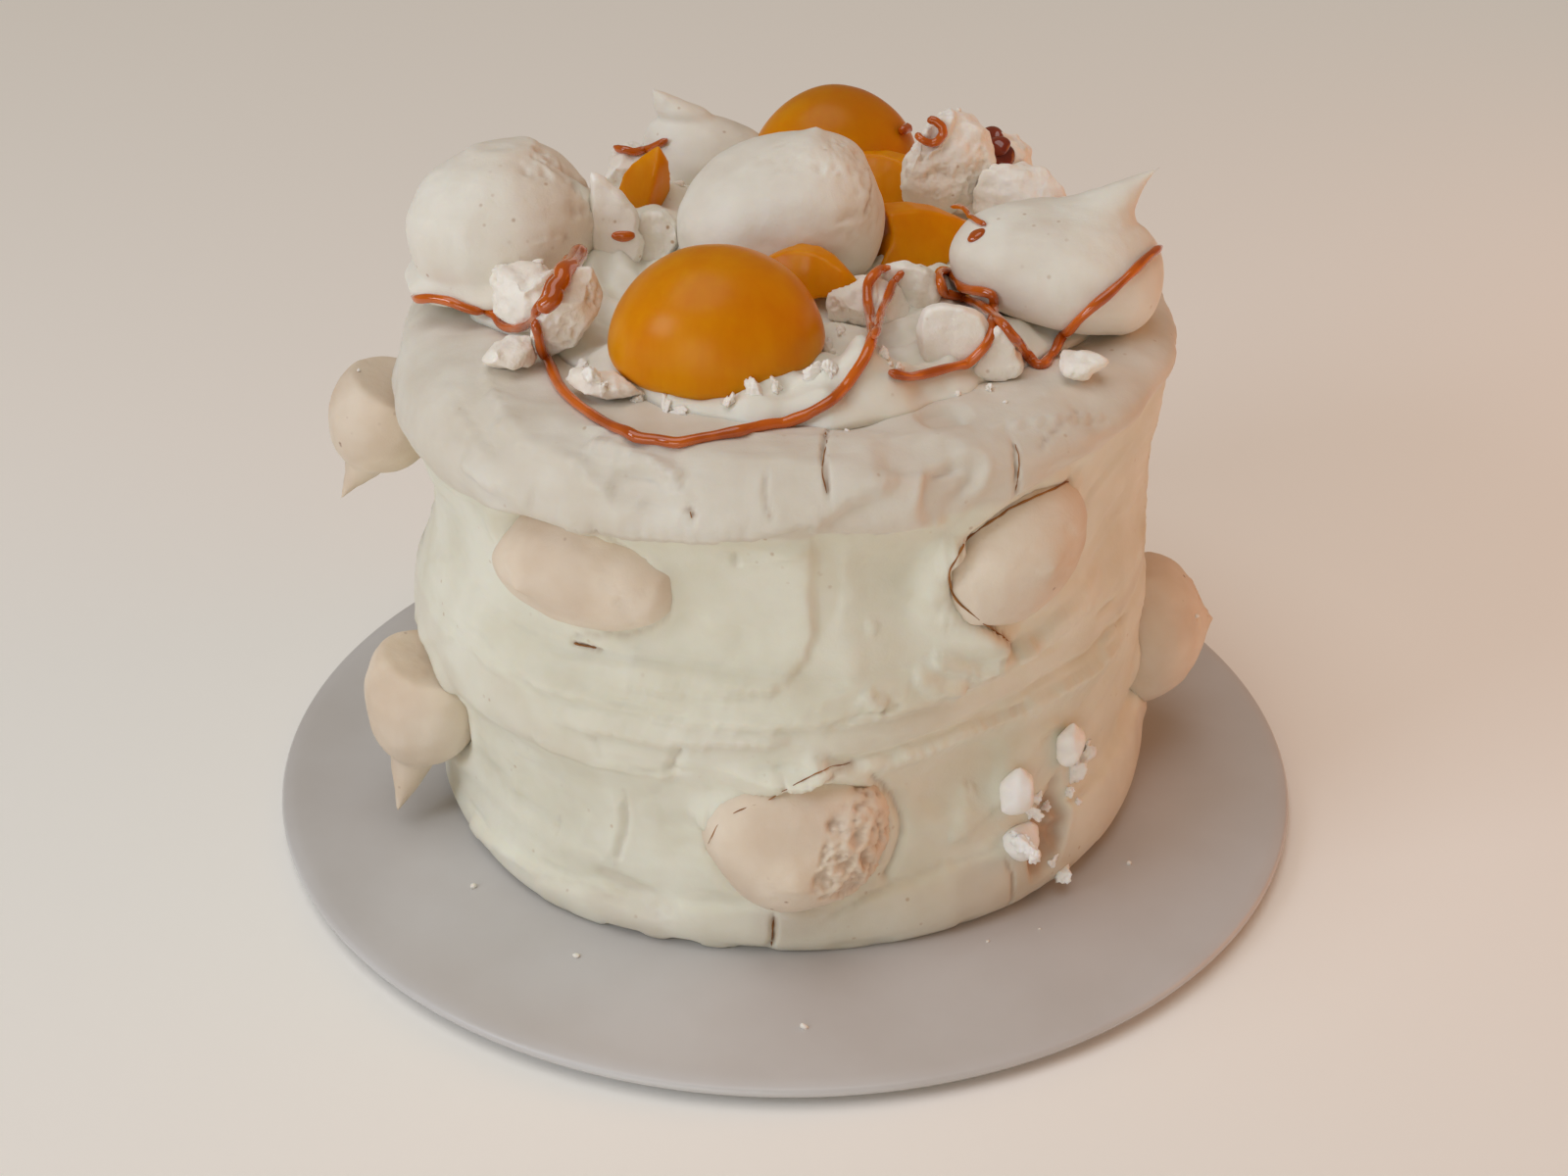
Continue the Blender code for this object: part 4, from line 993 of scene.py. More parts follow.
# a piped kiss: flat foot, round belly, and a tip that the bag pulled up and over
def pipeKiss(name, values, place, material):
    around, rings = values.get("around", 96), values.get("rings", 84)
    kiss, turn, ring = addBall(name, around, rings)
    sizeX, sizeY, tall = values["size"]
    tipShare, tipWidth = values["tip"]
    spread = values.get("spread", 0.0)
    body = tall * (1 - tipShare)
    start, stop = math.radians(-32), math.radians(66)
    line = [(0.0, 0.0), (0.40, 0.0)]
    if spread:
        foot = ((0.80, 0.0), (0.92, 0.035), (0.93, 0.06), (0.885, 0.11))
        line += [(reach + spread, rise * tall) for reach, rise in foot]
    else:
        line += [(0.78, 0.0), (0.835, 0.006 * tall)]
    for step in range(13):
        angle = start + (stop - start) * step / 12
        rise = (math.sin(angle) - math.sin(start)) / (1 - math.sin(start))
        if rise * body > (0.15 * tall if spread else 0.02 * tall):
            line.append((math.cos(angle), rise * body))
    full = values.get("tip full", 0.40)
    line += [(tipWidth, body + 0.10 * (tall - body)), (full * tipWidth, body + 0.62 * (tall - body)), (0.0, tall)]
    half = sizeX / 2
    profile = evenLine(softened(evenLine(np.array(line) * np.array([half, 1.0]), 400), 40), rings + 1)
    profile[0, 0] = profile[-1, 0] = 0
    share, height = profile[ring, 0] / half, profile[ring, 1]
    angle = turn / around * 2 * math.pi
    seed = values["seed"]
    wobble = 1 + 0.035 * np.sin(2 * angle + seed) + 0.025 * np.sin(3 * angle + 5 * height / tall + 2 * seed)
    shift = (height / tall) ** 3
    leanX, leanY = values["lean"]
    places = np.stack([
        share * wobble * sizeX / 2 * np.cos(angle) + leanX * sizeX / 2 * shift,
        share * wobble * sizeY / 2 * np.sin(angle) + leanY * sizeY / 2 * shift,
        height,
    ], axis=1)
    broken = np.zeros(len(places))
    middle = (places.max(axis=0) + places.min(axis=0)) / 2
    # cuts that leave a flat face: way, how far out it stays whole, how rough; a smooth one is rounded off
    for way, keep, rough in values.get("breaks", ()):
        way = unit(way)
        over = (places - middle) @ way
        over -= over.max() * keep
        cut = over > 0
        rounding = 0.0006 if rough else 0.0035
        places[cut] -= way * (0.95 * over[cut] ** 2 / (over[cut] + rounding))[:, None]
        broken = np.maximum(broken, rough * ease(over / 0.0015))
    # patches where the shell has crumbled: way, how wide, how rough
    for way, wide, rough in values.get("crumbled", ()):
        offset = (places - middle) / half
        facing = offset @ unit(way) / np.linalg.norm(offset, axis=1)
        uneven = 0.35 * lumps(places, 0.009, 81) + 0.2 * lumps(places, 0.004, 82)
        broken = np.maximum(broken, rough * ease((facing + uneven * 0.6 - wide) / 0.18))
    setPoints(kiss, places)
    # the skin: broad slack folds, small dents and a fine tooth
    outward = getPoints(kiss, "normal")
    shifted = places + 0.37 * (seed + 1)
    slack = values.get("slack", 0.0006)
    skin = slack * grain(shifted, 0.021, 11, 2) + 0.00016 * grain(shifted, 0.0050, 12, 2)
    dents = ease((lumps(shifted, 0.0075, 13) - 0.45) / 0.4) * ease(2.0 * lumps(shifted, 0.022, 14))
    skin -= 0.00050 * dents
    brownedAndShade = 0.10 * ease(0.3 + 1.5 * lumps(shifted, 0.016, 16))
    ridges = 1 - np.abs(grain(shifted, 0.0060, 17, 3, 0.6))
    skin += broken * 0.0024 * (ridges - 0.75)
    # painted shade in the hollows between the torn ridges
    brownedAndShade += np.minimum(broken, 1) * 0.22 * ease((0.62 - ridges) / 0.2)
    # where the shell has split: start angle, height share, length round, slope, depth
    for at, level, length, slope, depth in values.get("splits", ()):
        along = wrapTurn(angle - math.radians(at))
        ragged = 0.0012 * lumps(shifted, 0.0035, 15)
        gap = height - level * tall - slope * along * half + ragged
        within = ease((math.radians(length) - np.abs(along)) / 0.12)
        skin -= depth * np.exp(-((gap / 0.0008) ** 2)) * within * (share > 0.25)
        skin += 0.45 * depth * ease((gap + 0.0004) / 0.0010) * ease((0.006 - gap) / 0.005) * within
        # painted shade along the split
        brownedAndShade = np.maximum(brownedAndShade, 0.45 * np.exp(-((gap / 0.0007) ** 2)) * within * (share > 0.25))
    places = places + outward * skin[:, None] * (ring > 1)[:, None]
    setPoints(kiss, moved(places, place))
    setMask(kiss, "brownedAndShade", np.clip(brownedAndShade, 0, 1))
    return finishPiece(kiss, name, material, values["nodes"])


topKisses = {
    "kissTopLeft": {
        "foot": (-0.081, 0.008, 0.1620), "size": (0.056, 0.052, 0.0385), "tip": (0.03, 0.30), "lean": (0.10, 0.10),
        "spread": 0.20, "tilt": (0, -3, 0), "seed": 0.0, "nodes": ["top_kiss_left"], "slack": 0.0011,
        "splits": ((8, 0.66, 16, -0.6, 0.0009),), "around": 144, "rings": 110,
        "breaks": (((0.70, -0.10, 0.72), 0.93, 0.0), ((-0.10, 0.0, 1.0), 0.95, 0.0)),
        "crumbled": (((0.85, -0.30, 0.45), 0.82, 0.55), ((0.60, -0.55, 0.05), 0.93, 0.3)),
    },
    "kissTopMiddle": {
        "foot": (-0.003, 0.009, 0.1640), "size": (0.058, 0.053, 0.0410), "tip": (0.05, 0.15), "lean": (0.34, 0.15),
        "tilt": (0, 0, 0), "seed": 0.9, "nodes": ["top_kiss_middle"], "slack": 0.0012,
        "splits": ((-24, 0.62, 14, 0.5, 0.0008),), "around": 144, "rings": 110,
        "breaks": (((-0.05, -0.10, 1.0), 0.95, 0.0),),
        "crumbled": (((0.80, -0.50, 0.30), 0.80, 0.35), ((0.10, -0.60, 0.75), 0.92, 0.2)),
    },
    "kissTopRight": {
        "foot": (0.072, -0.013, 0.1625), "size": (0.058, 0.050, 0.0430), "tip": (0.32, 0.28), "lean": (0.72, 0.26),
        "tilt": (0, 13, 4), "seed": 1.8, "nodes": ["top_kiss_right"], "slack": 0.0005,
        "around": 144, "rings": 110,
    },
    "kissTopBackLeft": {
        "foot": (-0.026, 0.086, 0.1600), "size": (0.042, 0.034, 0.0345), "tip": (0.22, 0.38), "tip full": 0.52,
        "lean": (-0.85, -0.06), "tilt": (0, 0, 0), "seed": 2.7, "nodes": ["top_kiss_back_left"], "slack": 0.0009,
    },
}
for name, values in topKisses.items():
    pipeKiss(name, values, Matrix.Translation(values["foot"]) @ turned(values["tilt"]), paleMeringue)


# straight out of the cake's side at an azimuth, and the way to the right along it
def sideWays(azimuth):
    angle = math.radians(azimuth)
    return Vector((math.sin(angle), -math.cos(angle), 0)), Vector((math.cos(angle), math.sin(angle), 0))


# each with its node: azimuth, height, size along, across and out, turn, lean, sunk
sideKisses = {
    "kissSideFrontLeft": ((-30.2, 0.118, 0.056, 0.034, 0.027, -6, (-0.42, -0.24), 0.016), "side_kiss_front_left"),
    "kissSideFrontRight": ((33.6, 0.121, 0.047, 0.038, 0.025, 28, (0.10, 0.10), 0.014), "side_kiss_front_right"),
    "kissSideFrontLow": ((1.5, 0.0445, 0.050, 0.045, 0.031, 20, (-0.10, -0.20), 0.014), "side_kiss_front_low"),
    "kissSideRightLow": ((90, 0.046, 0.052, 0.046, 0.034, -12, (0.10, 0.12), 0.009), "side_kiss_right_low"),
    "kissSideRightBack": ((110, 0.112, 0.048, 0.040, 0.030, 15, (0.20, -0.12), 0.014), "side_kiss_right_back_high"),
    "kissSideBackRight": ((134, 0.050, 0.050, 0.038, 0.029, -20, (-0.25, 0.10), 0.014), "side_kiss_back_right_low"),
    "kissSideBack": ((166, 0.116, 0.046, 0.040, 0.030, 10, (0.15, 0.10), 0.014), "side_kiss_back_high"),
    "kissSideBackLeft": ((199, 0.046, 0.050, 0.041, 0.030, 25, (0.22, -0.10), 0.014), "side_kiss_back_left_low"),
    "kissSideLeftBack": ((230, 0.110, 0.048, 0.038, 0.029, -15, (-0.20, -0.15), 0.014), "side_kiss_left_back_high"),
}
sideSplits = {
    "kissSideBackRight": ((30, 0.55, 30, 0.6, 0.0012),),
    "kissSideLeftBack": ((-60, 0.50, 25, 0.6, 0.0010),),
}
sideBreaks = {
    "kissSideFrontLeft": (((0.97, -0.10, 0.10), 0.80, 0.0), ((-0.85, 0.45, 0.15), 0.86, 0.0),
        ((0.0, 0.0, 1.0), 0.90, 0.0)),
    "kissSideFrontLow": (((-0.10, 0.99, 0.10), 0.93, 0.0), ((0.0, -0.2, 1.0), 0.84, 0.0),
        ((0.75, -0.35, 0.55), 0.84, 0.0)),
    "kissSideFrontRight": (((-0.75, 0.10, 0.30), 0.82, 0.0), ((-0.60, -0.70, 0.30), 0.82, 0.0),
        ((0.1, 0.1, 1.0), 0.84, 0.0)),
    "kissSideLeftBack": (((0.50, 0.60, 0.50), 0.80, 1.0),),
    "kissSideBackRight": (((-0.60, 0.30, 0.60), 0.82, 1.0),),
}
sideCrumbled = {
    "kissSideFrontLow": (((0.90, -0.30, 0.35), 0.52, 1.0),),
    "kissSideFrontLeft": (((0.80, 0.10, 0.50), 0.93, 0.25),),
    "kissSideRightLow": (((0.20, 0.60, 0.60), 0.86, 0.5),),
    "kissSideBack": (((-0.70, 0.30, 0.40), 0.84, 0.7),),
}
for number, (name, (spec, node)) in enumerate(sideKisses.items()):
    azimuth, height, along, wide, out, turnBy, lean, sunk = spec
    outward, sideways = sideWays(azimuth)
    axes = Matrix((sideways, Vector((0, 0, 1)), outward)).transposed().to_4x4()
    foot = Vector((*cakeMiddle, height)) + outward * (bodyValues["side"] - sunk)
    values = {
        "size": (along, wide, out), "tip": (0.10, 0.20), "lean": lean, "seed": 1.3 * number, "nodes": [node],
        "slack": 0.0006, "around": 128, "rings": 96, "splits": sideSplits.get(name, ()),
        "breaks": sideBreaks.get(name, ()), "crumbled": sideCrumbled.get(name, ()),
    }
    place = Matrix.Translation(foot) @ axes @ Matrix.Rotation(math.radians(turnBy), 4, "Z")
    pipeKiss(name, values, place, toastedMeringue)

# these hang with the tip down; azimuth, height and distance out of the foot, size across, deep and tall, lean to
# the front, tilt outwards
hangingKisses = {
    "kissSideLeftLow": ((-70, 0.0565, 0.1135, 0.043, 0.036, 0.047, 0.45, 14), "side_kiss_left_low"),
    "kissSideLeftHigh": ((-92, 0.1270, 0.1180, 0.040, 0.034, 0.040, 0.45, 22), "side_kiss_left_high"),
}
for number, (name, (spec, node)) in enumerate(hangingKisses.items()):
    azimuth, height, out, wide, deep, tall, forward, tilt = spec
    outward, _ = sideWays(azimuth)
    down = Vector((0, 0, -1))
    axes = Matrix((outward.cross(down), outward, down)).transposed().to_4x4()
    foot = Vector((*cakeMiddle, height)) + outward * out
    values = {
        "size": (wide, deep, tall), "tip": (0.30, 0.34), "lean": (forward, 0.25), "seed": 0.7 + number,
        "nodes": [node], "slack": 0.0006, "around": 110, "rings": 90,
    }
    place = Matrix.Translation(foot) @ axes @ Matrix.Rotation(-math.radians(tilt), 4, "X")
    pipeKiss(name, values, place, toastedMeringue)
print("kisses done")


# peach

peachHalves = {
    "peachHalfFront": {
        "middle": (-0.0190, -0.051, 0.1640), "size": (0.058, 0.050, 0.0280), "tilt": (10, -3, 0),
        "node": "peach_front",
    },
    "peachHalfBack": {
        "middle": (0.0135, 0.084, 0.1660), "size": (0.055, 0.046, 0.0290), "tilt": (-6, 12, 0),
        "node": "peach_back",
    },
}


def makePeachHalf(name, values):
    around, rings = 128, 90
    half, turn, ring = addBall(name, around, rings)
    sizeX, sizeY, tall = values["size"]
    # across the cut face, round its rim, then up over the back of the fruit
    line = [(0.0, 0.0), (0.44, 0.0), (0.465, 0.0)]
    for step in range(1, 30):
        rise = math.radians(3 + 87 * step / 29)
        line.append((0.5 * math.cos(rise) ** 0.88, math.sin(rise)))
    profile = evenLine(softened(evenLine(np.array(line) * np.array([sizeX, tall]), 400), 60), rings + 1)
    profile[0, 0] = profile[-1, 0] = 0
    angle = turn / around * 2 * math.pi
    radius, height = profile[ring, 0], profile[ring, 1]
    crease = 1 - 0.03 * np.exp(-((wrapTurn(angle - math.pi / 2) / 0.35) ** 2))
    places = np.stack([
        radius * crease * np.cos(angle), radius * crease * np.sin(angle) * sizeY / sizeX, height,
    ], axis=1)
    places += 0.0006 * np.stack([lumps(places, 0.018, k) for k in (1, 2, 3)], axis=1)
    setPoints(half, moved(places, Matrix.Translation(values["middle"]) @ turned(values["tilt"])))
    # the back half stands in the others' shade, painted on it as a darker crown; the front one is a little darker
    # towards its top
    deeper = 0.55 * ease((height / tall - 0.35) / 0.8) if "Back" in name else 0.12 * ease(height / tall)
    setMask(half, "brownedAndShade", deeper)
    return finishPiece(half, name, peachFlesh, [values["node"]])


for name, values in peachHalves.items():
    makePeachHalf(name, values)


# a soft copy of a solid: merged, remeshed fine, smoothed, then roughened
def softCopy(name, node, values, material):
    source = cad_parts[node]
    copy = bpy.data.objects.new(name, source.data.copy())
    scene.collection.objects.link(copy)
    editAll(copy, bpy.ops.mesh.remove_doubles, threshold=0.00001)
    return roughen(copy, name, node, values, material)


# a closed mesh is remeshed fine and smoothed, then broken flat and torn
def roughen(copy, name, node, values, material):
    remesh = copy.modifiers.new("remesh", "REMESH")
    remesh.mode = "VOXEL"
    remesh.voxel_size = values["grain"]
    smooth = copy.modifiers.new("smooth", "SMOOTH")
    smooth.factor = 0.5
    smooth.iterations = values["soften"]
    applyAll(copy)
    places = getPoints(copy)
    chance = random.Random(values["seed"] + 5)
    middle = (places.max(axis=0) + places.min(axis=0)) / 2
    broken = np.zeros(len(places))
    # flat breaks take the roundness off
    for _ in range(values["breaks"]):
        way = unit([chance.gauss(0, 1), chance.gauss(0, 1), chance.gauss(0.0, 0.6)])
        height = (places - middle) @ way
        over = height - height.max() * chance.uniform(0.74, 0.90)
        cut = over > 0
        places[cut] -= way * (0.80 * over[cut])[:, None]
        broken = np.maximum(broken, ease(over / 0.0012))
    setPoints(copy, places)
    outward = getPoints(copy, "normal")
    shifted = places + 0.13 * values["seed"]
    skin = values["swell"] + values["lumpy"] * grain(shifted, 0.0060, 31, 2, 0.5)
    # torn ridges and pores of broken meringue, a millimetre or two wide
    ridges = 1 - np.abs(grain(shifted, 0.0042, 32, 3, 0.6))
    pores = ease((lumps(shifted, 0.0021, 33) - 0.25) / 0.35) * ease(0.5 + 1.4 * lumps(shifted, 0.008, 34))
    rough = 0.25 + 0.75 * broken
    skin += rough * (values["torn"] * (ridges - 0.6) - values["pores"] * pores)
    setPoints(copy, places + outward * skin[:, None])
    # painted shade in the pores of the broken faces; the crust gets a toasted tone at random
    tint = values["tint"] * (0.6 * pores * broken + 0.5 * (1 - broken) * ease(0.3 + 1.2 * lumps(shifted, 0.009, 35)))
    setMask(copy, "brownedAndShade", np.clip(tint, 0, 1))
    return finishPiece(copy, name, material, [node])


sliceValues = {
    "grain": 0.0006, "soften": 6, "swell": 0.0002, "lumpy": 0.0002, "pores": 0.0, "torn": 0.0, "tint": 0.0,
    "breaks": 0,
}
for number, place in enumerate(("right", "left", "middle", "back")):
    node = "peach_slice_" + place
    softCopy(camelName(node), node, {**sliceValues, "seed": number}, peachFlesh)
print("peaches done")


# broken meringue

brokenPieces = (
    "piece_left_a", "piece_left_b", "piece_left_c", "piece_back_left", "piece_back_right", "piece_block",
    "piece_behind_block", "piece_right_a", "piece_small_right", "piece_front_left", "side_piece_right_a",
    "side_piece_right_b", "side_piece_right_c",
)
pieceValues = {
    "grain": 0.00050, "soften": 4, "swell": 0.0001, "lumpy": 0.0009, "pores": 0.0007, "torn": 0.0010, "tint": 0.30,
    "breaks": 4,
}
# the bits stuck low on the side are smooth, and take the chips' finish painted bright as a highlight
sidePieceValues = {"breaks": 0, "soften": 45, "lumpy": 0.0006, "torn": 0.0003, "pores": 0.0003, "tint": 0.10}
for number, node in enumerate(brokenPieces):
    onSide = node.startswith("side")
    values = {**pieceValues, **(sidePieceValues if onSide else {}), "seed": number}
    softCopy(camelName(node), node, values, whiteChips if onSide else brokenMeringue)

# pieces whose outline shows well: places in the picture, where the front stands along Y, depth, finish
outlinePieces = {
    "piece_tall": ((
        (603, 176), (616, 180), (630, 193), (650, 214), (654, 225), (648, 234), (657, 245), (654, 263), (640, 284),
        (634, 304), (611, 304), (606, 270), (604, 240), (603, 209),
    ), 0.001, 0.010, {"lumpy": 0.0004, "torn": 0.0003, "pores": 0.0002, "tint": 0.10}),
    "piece_crumbly": ((
        (650, 225), (656, 216), (666, 214), (674, 216), (681, 221), (688, 225), (694, 232), (693, 245), (688, 256),
        (680, 266), (668, 276), (657, 278), (650, 262), (647, 238),
    ), 0.006, 0.014, {"lumpy": 0.0010, "torn": 0.0015, "pores": 0.0008, "tint": 0.25}),
    "piece_right_b": ((
        (892, 300), (896, 282), (903, 272), (920, 268), (938, 270), (952, 276), (960, 290), (958, 308), (946, 320),
        (940, 336), (930, 348), (912, 352), (900, 345), (893, 325),
    ), -0.024, 0.014, {"lumpy": 0.0006, "torn": 0.0012, "pores": 0.0013, "tint": 0.45}),
    "piece_right_c": ((
        (937, 335), (939, 320), (946, 312), (960, 309), (985, 312), (1002, 320), (1010, 335), (1008, 355),
        (1000, 370), (985, 380), (965, 384), (948, 382), (940, 365),
    ), -0.056, 0.016, {"lumpy": 0.0004, "torn": 0.0003, "pores": 0.0002, "tint": 0.10}),
    "piece_right_d": ((
        (985, 392), (998, 374), (1010, 352), (1014, 336), (1022, 330), (1034, 343), (1040, 360), (1045, 378),
        (1034, 388), (1016, 392), (1000, 397),
    ), -0.055, 0.014, {"lumpy": 0.0007, "torn": 0.0013, "pores": 0.0008, "tint": 0.30}),
}


# they stand a little in the cream of the bed
lowestFoot = 0.1585


# an outline seen from the camera, stood up at its place and given depth away from the eye
def standPiece(node, picture, front, deep, finish, seed):
    ring = evenLine(list(picture) + [picture[0]], 41)[:-1]
    middle = ring.mean(axis=0)
    places = []
    for away, scale in ((0.0, 0.88), (0.22, 1.0), (0.72, 0.97), (1.0, 0.76)):
        for across, down in middle + (ring - middle) * scale:
            way = wayThrough(across, down)
            reach = (front - camera.location.y) / way.y + away * deep
            place = camera.location + way * reach
            places.append((place.x, place.y, max(place.z, lowestFoot)))
    count = len(ring)
    faces = [list(range(count)), list(range(4 * count - 1, 3 * count - 1, -1))]
    for level in range(3):
        for k in range(count):
            after = (k + 1) % count
            first, second = level * count, (level + 1) * count
            faces.append([first + k, second + k, second + after, first + after])
    name = camelName(node)
    piece = newMesh(name, places, faces)
    editAll(piece, bpy.ops.mesh.normals_make_consistent, inside=False)
    values = {"grain": 0.00050, "soften": 5, "seed": seed, "swell": 0.0003, "breaks": 0, **finish}
    return roughen(piece, name, node, values, brokenMeringue)


for number, (node, (picture, front, deep, finish)) in enumerate(outlinePieces.items()):
    standPiece(node, picture, front, deep, finish, 40 + number)
print("broken meringue done")


# caramel

# places in the picture, then thickness in millimetres
caramelRuns = {
    "caramelLeft": ([(412, 301), (424, 305), (440, 304), (458, 307), (475, 312), (492, 316), (507, 322), (512, 333),
        (524, 337), (538, 330), (550, 318), (560, 300), (566, 282), (574, 266), (588, 258)], 1.35),
    "caramelBrowsing": ([(547, 324), (549, 345), (560, 372), (570, 396), (585, 412), (602, 424), (622, 437),
        (655, 449), (690, 455), (725, 448), (760, 441), (795, 433), (822, 425), (845, 412), (866, 392), (882, 366),
        (891, 340), (887, 312), (886, 290), (893, 278), (908, 274)], 1.45),
    "caramelMiddle": ([(891, 346), (897, 326), (904, 304), (912, 286), (922, 276)], 1.2),
    "caramelRight": ([(906, 381), (924, 386), (943, 383), (966, 377), (986, 371), (1001, 357), (1010, 338),
        (1015, 316), (1016, 300), (1004, 296), (988, 294), (974, 288), (968, 279), (959, 277), (957, 290),
        (961, 302), (976, 304), (996, 310), (1016, 324), (1032, 344), (1046, 363), (1058, 376), (1067, 374),
        (1073, 360), (1082, 346), (1098, 327), (1112, 314), (1132, 298), (1152, 280), (1170, 262),
        (1190, 247)], 1.35),
    "caramelBackLeft": ([(620, 146), (634, 154), (650, 156), (668, 150), (682, 143)], 1.2),
    "caramelRibbon": ([(590, 257), (579, 270), (573, 286), (563, 301), (552, 314)], 2.3),
    "caramelRing": ([(937, 136), (938, 129), (945, 124), (954, 124), (962, 129), (964, 137), (958, 145), (949, 147),
        (941, 143), (937, 136)], 1.25),
    "caramelTail": ([(917, 135), (924, 132), (931, 128), (938, 127)], 1.7),
    "caramelThread": ([(970, 210), (980, 210), (987, 218), (998, 227), (1006, 230)], 0.75),
}
# these lie flat, however the ground falls away under them
flatRuns = {"caramelRing": 0.0012, "caramelTail": 0.004}
# place in the picture, half width and half height in millimetres
caramelDrops = (((636, 241), 3.4, 1.8), ((996, 240), 2.0, 3.0))
darkDrops = (((1012, 140), 5.0, 4.2), ((1023, 158), 4.0, 4.8), ((1018, 149), 4.2, 3.8))


# where the first thing seen through a place in the picture lies, and its normal
def seenAt(across, down, depsgraph):
    hit, place, normal, *_ = scene.ray_cast(depsgraph, camera.location, wayThrough(across, down))
    return (place, normal) if hit else (None, None)


# a strand laid on whatever lies under its line in the picture
def layStrand(name, picture, thick, material, lift):
    depsgraph = bpy.context.evaluated_depsgraph_get()
    dense = softened(evenLine(picture, len(picture) * 9), 4)
    places, normals = [], []
    for across, down in dense:
        place, normal = seenAt(across, down, depsgraph)
        if place is not None:
            places.append(np.array(place))
            normals.append(np.array(normal))
    places, normals = np.array(places), np.array(normals)
    # a strand doesn't dive behind an edge: where the depth jumps it hangs across the gap
    eye = np.array(camera.location)
    away = np.linalg.norm(places - eye, axis=1)
    limit = away.copy()
    step = 0.0009 * np.linalg.norm(np.diff(dense, axis=0), axis=1).mean()
    for k in range(1, len(away)):
        limit[k] = min(limit[k], limit[k - 1] + step)
    for k in range(len(away) - 2, -1, -1):
        limit[k] = min(limit[k], limit[k + 1] + step)
    limit = np.minimum(limit, away.min() + flatRuns.get(name, 9.0))
    places = eye + (places - eye) * (limit / away)[:, None]
    radius = thick / 1000
    thinLine = lift < 0.5
    towards = (eye - places) / np.linalg.norm(eye - places, axis=1)[:, None]
    places = softened(places + (normals + towards) * radius * lift, 5)
    if thinLine:
        places += 0.00035 * np.stack([grain(places, 0.0052, k, 2) for k in (61, 62, 63)], axis=1)
    curve = bpy.data.curves.new(name, "CURVE")
    curve.dimensions = "3D"
    curve.bevel_depth = radius
    curve.bevel_resolution = 4 if thick > 0.6 else 2
    curve.use_fill_caps = True
    spline = curve.splines.new("POLY")
    spline.points.add(len(places) - 1)
    for k, place in enumerate(places):
        spline.points[k].co = (*place, 1)
        taper = min(1.0, 0.45 + 0.22 * min(k, len(places) - 1 - k))
        swell = 1 + (0.6 if thinLine else 0.22) * noise.noise(Vector(place) * (420 if thinLine else 140))
        spline.points[k].radius = taper * max(0.3, swell)
    strand = bpy.data.objects.new(name, curve)
    scene.collection.objects.link(strand)
    pick(strand)
    bpy.ops.object.convert(target="MESH")
    return finishPiece(bpy.context.object, name, material, [])


# thin dark lines of painted shade in the bottom of the cracks and along the edges of the kisses
crackRuns = [(mark[0], 0.28 if mark[-1] > 0.9 else 0.14) for mark in shownMarks if mark[-1] > 0.5]
for number, (picture, thick) in enumerate(crackRuns):
    layStrand("shadeLine" + str(number), picture, thick, crackShadePaint, 0.4)
for name, (picture, thick) in caramelRuns.items():
    layStrand(name, picture, thick, boiledCaramel, 0.55)


# a fallen drop, flattened where it lies
def dropCaramel(name, spot, wide, tall, material):
    place, normal = seenAt(*spot, bpy.context.evaluated_depsgraph_get())
    drop, *_ = addBall(name, 32, 20)
    places = getPoints(drop) / 0.1
    places *= 1 + 0.10 * lumps(places, 0.8, int(spot[0]))[:, None]
    places = places * np.array([wide, tall * 0.9, min(wide, tall) * 0.55]) / 1000
    axes = normal.to_track_quat("Z", "Y").to_matrix()
    setPoints(drop, places @ np.array(axes).T + np.array(place))
    finishPiece(drop, name, material, [])


for number, (spot, wide, tall) in enumerate(caramelDrops):
    dropCaramel("caramelDrop" + str(number), spot, wide, tall, boiledCaramel)
for number, (spot, wide, tall) in enumerate(darkDrops):
    dropCaramel("caramelDarkDrop" + str(number), spot, wide, tall, darkCaramel)
print("caramel done")


# crumbs

crumbValues = {
    "onPlate": 14, "onTop": 40, "smallest": 0.0004, "largest": 0.0013, "cakeEdge": 0.118, "plateEdge": 0.150,
    "topReach": 0.104,
}


def scatterCrumbs(values):
    depsgraph = bpy.context.evaluated_depsgraph_get()
    chance = random.Random(9)
    spots = []
    while len(spots) < values["onPlate"]:
        angle = chance.uniform(0, 2 * math.pi)
        reach = values["cakeEdge"] + abs(chance.gauss(0, 0.010))
        if reach < values["plateEdge"]:
            spots.append((reach * math.sin(angle), 0.004 - reach * math.cos(angle)))
    while len(spots) < values["onPlate"] + values["onTop"]:
        angle, reach = chance.uniform(0, 2 * math.pi), values["topReach"] * math.sqrt(chance.random())
        spots.append((reach * math.sin(angle), 0.004 - reach * math.cos(angle)))
    crumbs = []
    for x, y in spots:
        hit, place, _, _, obj, _ = scene.ray_cast(depsgraph, Vector((x, y, 0.3)), Vector((0, 0, -1)))
        if not hit or obj.name.startswith(("peach", "caramel", "kissTop")):
            continue
        size = values["smallest"] + (values["largest"] - values["smallest"]) * chance.random() ** 2.2
        deselectAll()
        bpy.ops.mesh.primitive_ico_sphere_add(subdivisions=2, radius=size, location=(0, 0, 0))
        crumb = bpy.context.object
        places = getPoints(crumb)
        places = places * (1 + 0.5 * lumps(places + x, size, 3))[:, None]
        places = places * np.array([chance.uniform(0.8, 1.5), chance.uniform(0.7, 1.1), chance.uniform(0.6, 0.9)])
        setPoints(crumb, places + np.array(place) + np.array([0, 0, size * 0.35]))
        crumbs.append(crumb)
    joined = joinAll(crumbs)
    setMask(joined, "brownedAndShade", np.full(len(joined.data.vertices), 0.08))
    return finishPiece(joined, "meringueCrumbs", brokenMeringue, [])


scatterCrumbs(crumbValues)


